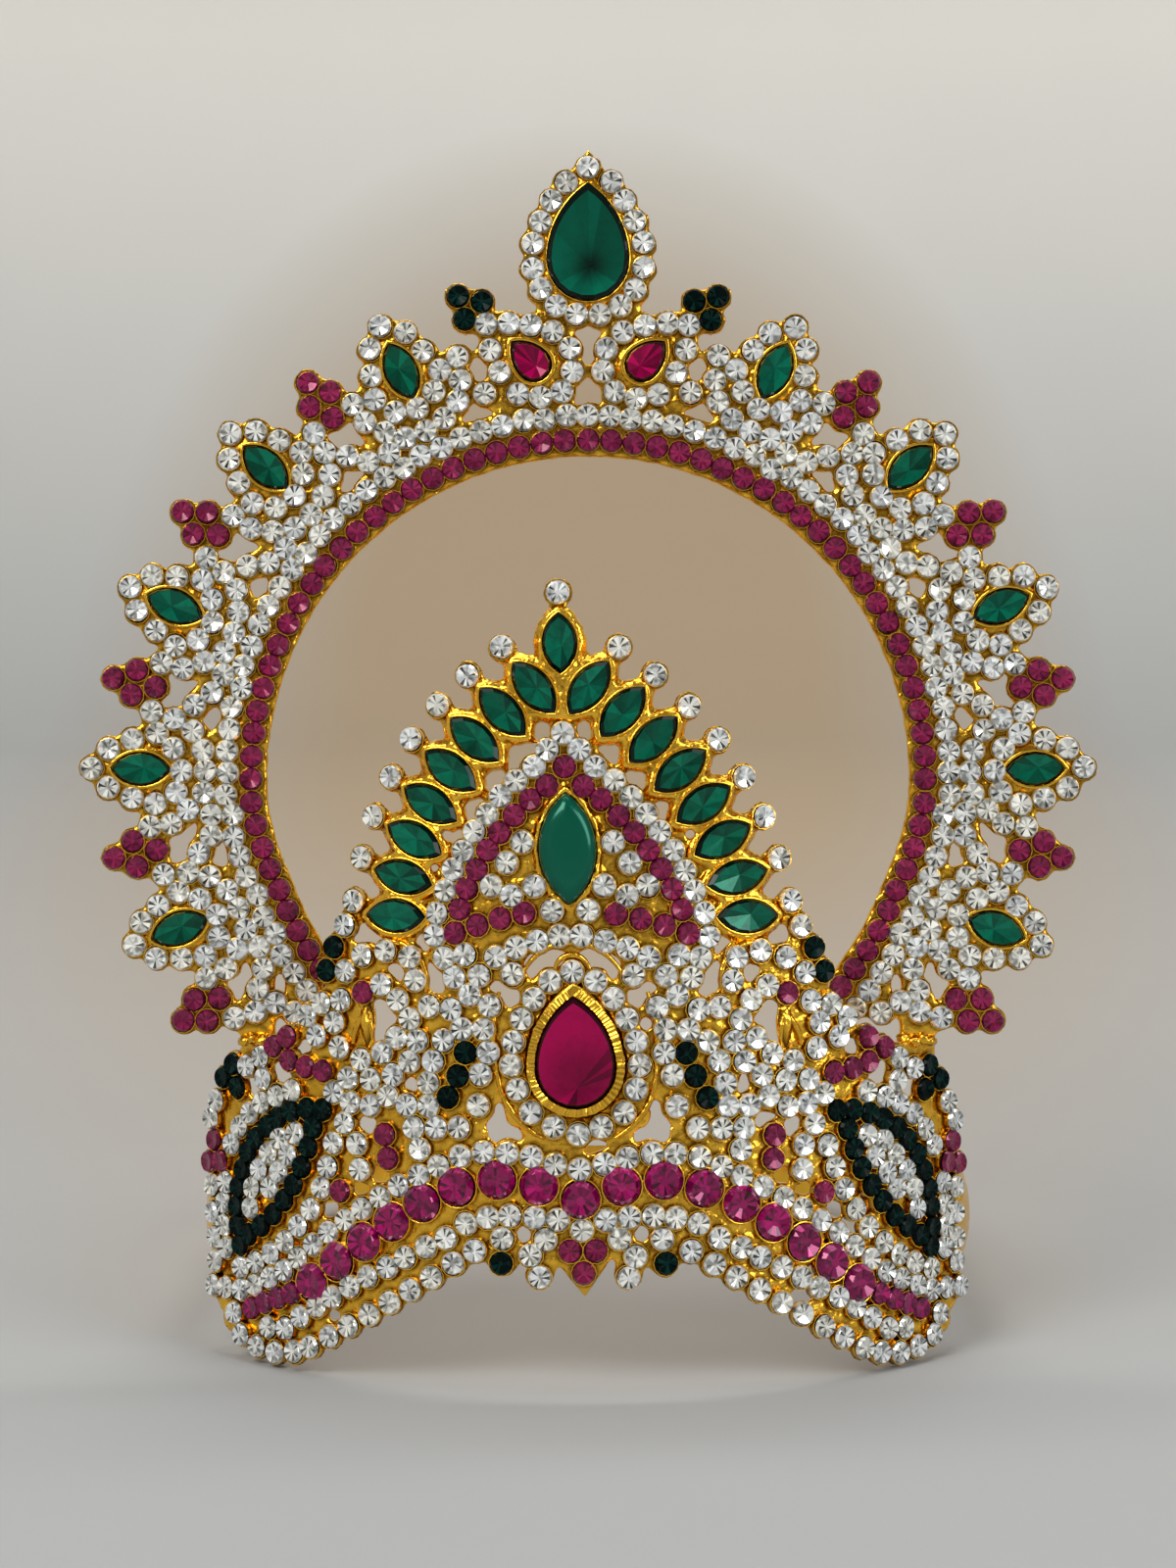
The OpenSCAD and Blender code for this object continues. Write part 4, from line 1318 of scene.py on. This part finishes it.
class CROWN_OT_coloured_stones(bpy.types.Operator):
    """Set the small rubies and the dark green stones"""

    bl_idname = "crown.coloured_stones"
    bl_label = "Small coloured stones"

    def execute(self, context):
        deselect()
        stones = context.scene.crown_stones
        stone = round_stone_template(stones.small / MM, SMALL_CUT)
        ruby = material_of(
            "Ruby foil stone", foil_stone, shades_of(stones.ruby, SHADE_LEVELS),
            metallic=0.3, roughness=0.14, coat=0.2, gloss=0.3,
            tint_low=(0.75, 0.7, 0.8), patches=(0.6, 0.6, 0.6))
        dark = material_of(
            "Dark green stone", foil_stone,
            ((0.0, (0.0002, 0.0008, 0.0008)), (0.5, (0.0006, 0.0045, 0.004)),
             (1.0, (0.003, 0.025, 0.02))),
            metallic=0.0, roughness=0.1, coat=0.0, gloss=0.06,
            tint_low=(0.6, 0.6, 0.6), patches=(0.6, 0.6, 0.6))
        groups = (
            ("crest_rubies", [CREST_RUBY_TOP] + both_sides(rows(CREST_RUBY)), on_plate, ruby,
             "ruby_stone", ("crest_ruby_triangle",)),
            ("plate_rubies", both_sides(rows(PLATE_RUBY)) + [PENDANT_RUBY], on_plate, ruby,
             "ruby_stone", ()),
            ("ring_rubies", ring_row(RUBY_ROW_N, RUBY_ROW_END, RUBY_ROW_R), on_halo, ruby,
             "ruby_stone", ("halo_ruby_row",)),
            ("cluster_rubies", cluster_stones(), on_halo, ruby,
             "ruby_stone", ("halo_ruby_clusters",)),
            ("leaf_darks", both_sides(rows(LEAF_DARK)), on_plate, dark,
             "dark_stone", ("leaf_dark_left", "leaf_dark_right")),
            ("plate_darks", both_sides(rows(PLATE_DARK)), on_plate, dark,
             "dark_stone", ("plate_dark_stones",)),
            ("halo_darks", HALO_DARKS, on_halo, dark, "dark_stone", ("halo_dark_clusters",)),
        )
        for k, (name, places, carrier, material, slot, nodes) in enumerate(groups):
            matrices = loosened([carrier(p) for p in places], 31 + k, 3.0, 0.05)
            obj = copies(stone, matrices, name, 41 + k, QUIET, keep=True)
            finish_piece(obj, material, nodes)
        bpy.data.objects.remove(stone, do_unlink=True)
        return {"FINISHED"}


class CROWN_OT_band_rubies(bpy.types.Operator):
    """Set the big rubies of the band and the small ones that end it"""

    bl_idname = "crown.band_rubies"
    bl_label = "Band rubies"

    def execute(self, context):
        deselect()
        stones = context.scene.crown_stones
        magenta = material_of(
            "Magenta foil stone", foil_stone,
            shades_of(stones.magenta, ((0.0, 0.15), (0.35, 0.6), (0.7, 1.0), (1.0, 1.7))),
            metallic=0.4, roughness=0.1, coat=0.4, gloss=0.4,
            tint_low=(0.8, 0.75, 0.85), patches=(0.5, 0.5, 0.5))
        big = round_stone_template(stones.big / MM, BIG_CUT)
        small = round_stone_template(stones.small / MM, SMALL_CUT)
        pieces = [
            copies(big, loosened([on_plate(p) for p in BIG_PLACES], 51, 2.0, 0.05),
                   "band_rubies_set", 52, SPARKLING),
            copies(small, loosened([on_plate(p) for p in both_sides(rows(BAND_END_RUBY))],
                                   53, 2.0, 0.05), "band_end_rubies", 54, QUIET),
        ]
        finish_piece(join(pieces, "band_rubies_set"), magenta,
                     ("band_rubies",))
        return {"FINISHED"}


class CROWN_OT_marquises(bpy.types.Operator):
    """Set the emerald marquises"""

    bl_idname = "crown.marquises"
    bl_label = "Marquises"

    def execute(self, context):
        deselect()
        stones = context.scene.crown_stones
        green = material_of(
            "Emerald foil stone", foil_stone,
            shades_of(stones.green, ((0.0, 0.03), (0.35, 0.6), (0.7, 1.0), (1.0, 1.5))),
            metallic=0.4, roughness=0.12, coat=0.15, gloss=0.2,
            tint_low=(0.8, 0.85, 0.8), patches=(0.8, 0.8, 0.8))
        crest = star_stone_template(marquise_outline(*CREST_STONE, 6), "crest_stone",
                                    0.85, 1.25, 0.85, (0.25, -0.3), 0.3)
        top = star_stone_template(marquise_outline(*CREST_TOP, 6), "crest_top_stone",
                                  0.85, 1.25, 0.85, (0.25, -0.3), 0.3)
        halo = star_stone_template(marquise_outline(*HALO_STONE, 6), "halo_stone",
                                   0.9, 1.35, 0.88, (0.2, -0.4), 0.3)
        finish_piece(copies(top, [on_plate((0, CREST_TOP_Z))], "crest_emerald_1", 61, SHADOW_RIMMED),
                     green, ("crest_green_marquise_1",))
        # Stone, places, where the pieces and their nodes start counting, and the first seed
        for carrier, stone, places, first, seed in (
            ("crest", crest, loosened_turns(crest_places(), 62), 2, 70),
            ("halo", halo, loosened_turns(halo_places(), 63), 1, 90),
        ):
            for i, place in enumerate(places):
                piece = copies(stone, [place], "%s_emerald_%d" % (carrier, first + i), seed + i,
                               SHADOW_RIMMED, keep=True)
                finish_piece(piece, green,
                             ("%s_green_marquise_%d" % (carrier, first + i),))
            bpy.data.objects.remove(stone, do_unlink=True)

        centre = slab(marquise_outline(*CENTRE_STONE, 20), "centre_stone", LONG_FOOT, 0.9)
        for rise, scale in ((0.45, 0.93), (0.35, 0.9), (0.22, 0.85), (0.1, 0.7), (0.03, 0.4)):
            raise_top(rise, scale)
        leave_edit()
        name_facets(centre, 3.0, 0)
        placed = copies(centre, [on_plate((0, CENTRE_STONE_Z))], "centre_emerald", 64,
                        SMOOTH, smooth=True)
        glass = material_of(
            "Smooth emerald", foil_stone,
            shades_of(stones.green, ((0.0, 0.02), (0.3, 0.4), (0.9, 0.8), (1.0, 0.95))),
            metallic=0.4, roughness=0.2, coat=0.15, gloss=0.2)
        finish_piece(placed, glass, ("centre_green_marquise",))
        return {"FINISHED"}


def loosened_turns(matrices, seed):
    """The same places, each turned by a degree or so, and some of them end for end."""
    dice = random.Random(seed)
    return [m @ Matrix.Rotation(math.radians(dice.gauss(0, 1.2)), 4, "Z")
            @ Matrix.Rotation(math.radians(dice.choice((0, 180))), 4, "Z") for m in matrices]


# The colour of the red pears, and where the facets of the big pears meet: sideways and up
PEAR_RUBY = (0.28, 0.0, 0.055)
TOP_PEAR_CULET = (0.2, -1.0)
RUBY_PEAR_CULET = (0.1, -2.4)


class CROWN_OT_pears(bpy.types.Operator):
    """Set the four pears"""

    bl_idname = "crown.pears"
    bl_label = "Pears"

    def execute(self, context):
        deselect()
        stones = context.scene.crown_stones
        # Painted dark spots round the pears' low points, part of their painted reflections
        eye = on_halo((0.2, TOP_PEAR_Z - 1.0), lift=1.0).translation
        green = material_of(
            "Deep emerald", foil_stone,
            shades_of(stones.green, ((0.0, 0.02), (0.35, 0.4), (0.7, 0.9), (1.0, 1.5))),
            metallic=0.35, roughness=0.14, coat=0.15, gloss=0.2, patches=(0.9, 0.9, 0.9),
            eyes=((eye, ((0.0, 0.1), (0.9, 0.25), (2.6, 0.8), (4.5, 1.0))),))
        eye = on_plate((0.2, RUBY_PEAR_Z - 1.2), lift=1.5).translation
        red = material_of(
            "Pear ruby", foil_stone,
            shades_of(PEAR_RUBY, ((0.0, 0.04), (0.3, 0.3), (0.8, 0.95), (1.0, 1.5))),
            metallic=0.35, roughness=0.12, coat=0.15, gloss=0.2, patches=(0.9, 0.9, 0.9),
            eyes=((eye, ((0.0, 0.5), (2.5, 0.6), (5.5, 1.0))),))
        big = star_stone_template(pear_outline(*TOP_PEAR, 9), "top_pear", 1.0, 1.5, 0.9,
                                  TOP_PEAR_CULET, 0.3)
        ruby = star_stone_template(pear_outline(*RUBY_PEAR, 12), "ruby_pear", 1.5, 2.1, 0.91,
                                   RUBY_PEAR_CULET, 0.3)
        # Painted reflections: each pear's facets lighter or darker by direction, with a bright lower
        # fan and a light streak
        big_rays = ray_shades(big, TOP_PEAR_CULET, (
            (-165, 0.6), (-140, 0.85), (-125, 0.68), (-110, 0.95), (-90, 0.8), (-75, 1.0),
            (-55, 0.75), (-40, 0.85), (-20, 0.5), (10, 0.42), (45, 0.36), (75, 0.3), (87, 0.52),
            (96, 0.4), (110, 0.46), (150, 0.62), (180, 0.66)))
        ruby_rays = ray_shades(ruby, RUBY_PEAR_CULET, (
            (-170, 0.76), (-154, 0.8), (-133, 1.0), (-107, 0.2), (-78, 0.66), (-55, 0.74),
            (-25, 0.78), (7, 0.7), (20, 0.3), (33, 0.74), (42, 0.28), (52, 0.72), (75, 0.76),
            (90, 0.8), (120, 0.8), (150, 0.8), (175, 0.8)))
        small = star_stone_template(pear_outline(*SMALL_PEAR, 5), "small_pear", 0.9, 1.5, 0.84,
                                    (0, -0.4), 0.3)
        finish_piece(copies(big, [on_halo((0, TOP_PEAR_Z))], "top_emerald_pear", 71, SHADOW_RIMMED,
                            rays=big_rays),
                     green, ("top_green_pear",))
        finish_piece(copies(ruby, [on_plate((0, RUBY_PEAR_Z))], "centre_ruby_drop", 72, SHADOW_RIMMED,
                            rays=ruby_rays),
                     red, ("centre_ruby_pear",))
        for place, side in zip(small_pear_places(), ("left", "right")):
            finish_piece(copies(small, [place], "small_ruby_drop_" + side, 73, SHADOW_RIMMED, keep=True),
                         red, ("small_ruby_pear_" + side,))
        bpy.data.objects.remove(small, do_unlink=True)
        return {"FINISHED"}


# Stage

CAMERA_AT = (0.0, -0.5073, 0.12625)
CAMERA_LENS = 57.8
CAMERA_DOWN = 6.5
FLOOR_R = 0.72
WALL_R = 1.05
WALL_TOP = 1.25
# The painted warm shadow of the backdrop behind the crown: its middle, and how far it reaches each
# way
PAINTED_SHADOW_AT = (0.0, 0.72, 0.04)
PAINTED_SHADOW_SIZE = (0.19, 0.85, 0.2)


class CROWN_OT_stage(bpy.types.Operator):
    """Build the pale backdrop, the soft lights and the camera"""

    bl_idname = "crown.stage"
    bl_label = "Stage"

    def execute(self, context):
        deselect()
        settings = context.scene.crown_stage
        self.backdrop(settings)
        self.lights(context, settings)
        self.camera(context)
        return {"FINISHED"}

    def backdrop(self, settings):
        """A round floor that curves up into a wall all round, so every view has the same ground."""
        curve_r = WALL_R - FLOOR_R
        profile = [(0.0, 0.0), (FLOOR_R * 0.5, 0.0)]
        for i in range(13):
            t = math.pi / 2 * i / 12
            profile.append((FLOOR_R + curve_r * math.sin(t), curve_r * (1 - math.cos(t))))
        profile.append((WALL_R, WALL_TOP))
        mesh = bpy.data.meshes.new("backdrop")
        mesh.from_pydata([(x, 0, z) for x, z in profile],
                         [(i, i + 1) for i in range(len(profile) - 1)], [])
        obj = add_object("backdrop", mesh)
        edit(obj, "VERT")
        bpy.ops.mesh.select_all(action="SELECT")
        bpy.ops.mesh.spin(steps=96, angle=2 * math.pi, center=(0, 0, 0), axis=(0, 0, 1))
        bpy.ops.mesh.select_all(action="SELECT")
        bpy.ops.mesh.remove_doubles(threshold=0.00001)
        bpy.ops.mesh.normals_make_consistent(inside=True)
        leave_edit()
        bpy.ops.object.shade_smooth()
        pale = tuple(settings.backdrop)
        # Painted shadow: a darker, warmer colour behind the crown
        shadow_tone = tuple(c * f for c, f in zip(pale, (0.56, 0.43, 0.30)))
        grey = tuple(c * f for c, f in zip(pale, (0.55, 0.565, 0.60)))
        material = plain_stage("Backdrop", shadow_tone, grey, pale)
        obj.data.materials.append(material)
        self.dark_card()

    def dark_card(self):
        """A dark card behind the camera that shows in reflections alone, as in a studio."""
        bpy.ops.mesh.primitive_plane_add(size=1, location=(0, -0.98, 0.42))
        card = bpy.context.object
        card.name = "dark_card"
        card.rotation_euler = (math.radians(90), 0, 0)
        card.scale = (1.5, 1.1, 1)
        bpy.ops.object.transform_apply(location=True, rotation=True, scale=True)
        material, tree, shader = new_material("Dark card")
        grey = ramp(tree, noise(tree, 3, 1.0), ((0.3, (0.24, 0.23, 0.22)), (0.7, (0.34, 0.33, 0.31))))
        tree.links.new(grey, shader.inputs["Base Color"])
        put(shader, {"Roughness": 0.9})
        card.data.materials.append(material)
        card.visible_camera = False
        card.visible_diffuse = False
        card.visible_shadow = False

    def lights(self, context, settings):
        # Name, place, width, height, power, colour
        softboxes = (
            ("key", (-0.42, -0.62, 0.72), 0.55, 0.45, 6.8, (1.0, 0.97, 0.93)),
            ("fill", (0.62, -0.50, 0.42), 0.40, 0.50, 3.3, (0.95, 0.97, 1.0)),
            ("top", (0.0, 0.05, 0.95), 0.8, 0.6, 3.1, (1.0, 0.99, 0.97)),
            ("low_front", (0.05, -0.68, 0.16), 0.55, 0.16, 1.0, (1.0, 0.98, 0.95)),
            ("back", (0.1, 0.30, 0.90), 0.8, 0.3, 5.6, (1.0, 0.98, 0.95)),
        )
        for name, place, wide, high, power, colour in softboxes:
            light = bpy.data.lights.new(name, "AREA")
            light.shape = "RECTANGLE"
            light.size = wide
            light.size_y = high
            light.energy = power * settings.light
            light.color = colour
            obj = bpy.data.objects.new(name, light)
            obj.location = place
            aim = Vector((0, 1.0, 0.15)) if name == "back" else Vector((0, 0, 0.075))
            obj.rotation_euler = (Vector(place) - aim).to_track_quat("Z", "Y").to_euler()
            obj.visible_camera = False
            obj.visible_glossy = name != "low_front"
            context.collection.objects.link(obj)
        world = bpy.data.worlds.new("Studio")
        world.use_nodes = True
        put(world.node_tree.nodes["Background"],
            {"Color": (0.62, 0.64, 0.68, 1), "Strength": 0.36})
        context.scene.world = world
        context.scene.view_settings.view_transform = "Standard"

    def camera(self, context):
        data = bpy.data.cameras.new("camera")
        data.sensor_fit = "VERTICAL"
        data.sensor_height = 24.0
        data.lens = CAMERA_LENS
        data.clip_start = 0.01
        camera = bpy.data.objects.new("camera", data)
        camera.location = CAMERA_AT
        camera.rotation_euler = (math.radians(90 - CAMERA_DOWN), 0, 0)
        context.collection.objects.link(camera)
        context.scene.camera = camera


PIECES = (
    CROWN_OT_cast_plate,
    CROWN_OT_cast_halo,
    CROWN_OT_strip,
    CROWN_OT_cups,
    CROWN_OT_bezels,
    CROWN_OT_ridges,
    CROWN_OT_solder,
    CROWN_OT_clear_stones,
    CROWN_OT_coloured_stones,
    CROWN_OT_band_rubies,
    CROWN_OT_marquises,
    CROWN_OT_pears,
    CROWN_OT_stage,
)


class CROWN_PT_panel(bpy.types.Panel):
    """The crown's pieces and settings"""

    bl_idname = "CROWN_PT_panel"
    bl_label = "Deity crown"
    bl_space_type = "VIEW_3D"
    bl_region_type = "UI"
    bl_category = "Crown"

    def draw(self, context):
        for title, settings in (
            ("Metal", context.scene.crown_metal),
            ("Stones", context.scene.crown_stones),
            ("Stage", context.scene.crown_stage),
        ):
            box = self.layout.box()
            box.label(text=title)
            for name in settings.__annotations__:
                box.prop(settings, name)
        for piece in PIECES:
            self.layout.operator(piece.bl_idname)


CLASSES = (MetalSettings, StoneSettings, StageSettings, *PIECES, CROWN_PT_panel)


def register():
    for item in CLASSES:
        bpy.utils.register_class(item)
    bpy.types.Scene.crown_metal = PointerProperty(type=MetalSettings)
    bpy.types.Scene.crown_stones = PointerProperty(type=StoneSettings)
    bpy.types.Scene.crown_stage = PointerProperty(type=StageSettings)


def unregister():
    del bpy.types.Scene.crown_stage
    del bpy.types.Scene.crown_stones
    del bpy.types.Scene.crown_metal
    for item in reversed(CLASSES):
        bpy.utils.unregister_class(item)


def main():
    register()
    bpy.ops.crown.cast_plate()
    bpy.ops.crown.cast_halo()
    bpy.ops.crown.strip()
    bpy.ops.crown.cups()
    bpy.ops.crown.bezels()
    bpy.ops.crown.ridges()
    bpy.ops.crown.solder()
    bpy.ops.crown.clear_stones()
    bpy.ops.crown.coloured_stones()
    bpy.ops.crown.band_rubies()
    bpy.ops.crown.marquises()
    bpy.ops.crown.pears()
    bpy.ops.crown.stage()


if __name__ == "__main__":
    main()
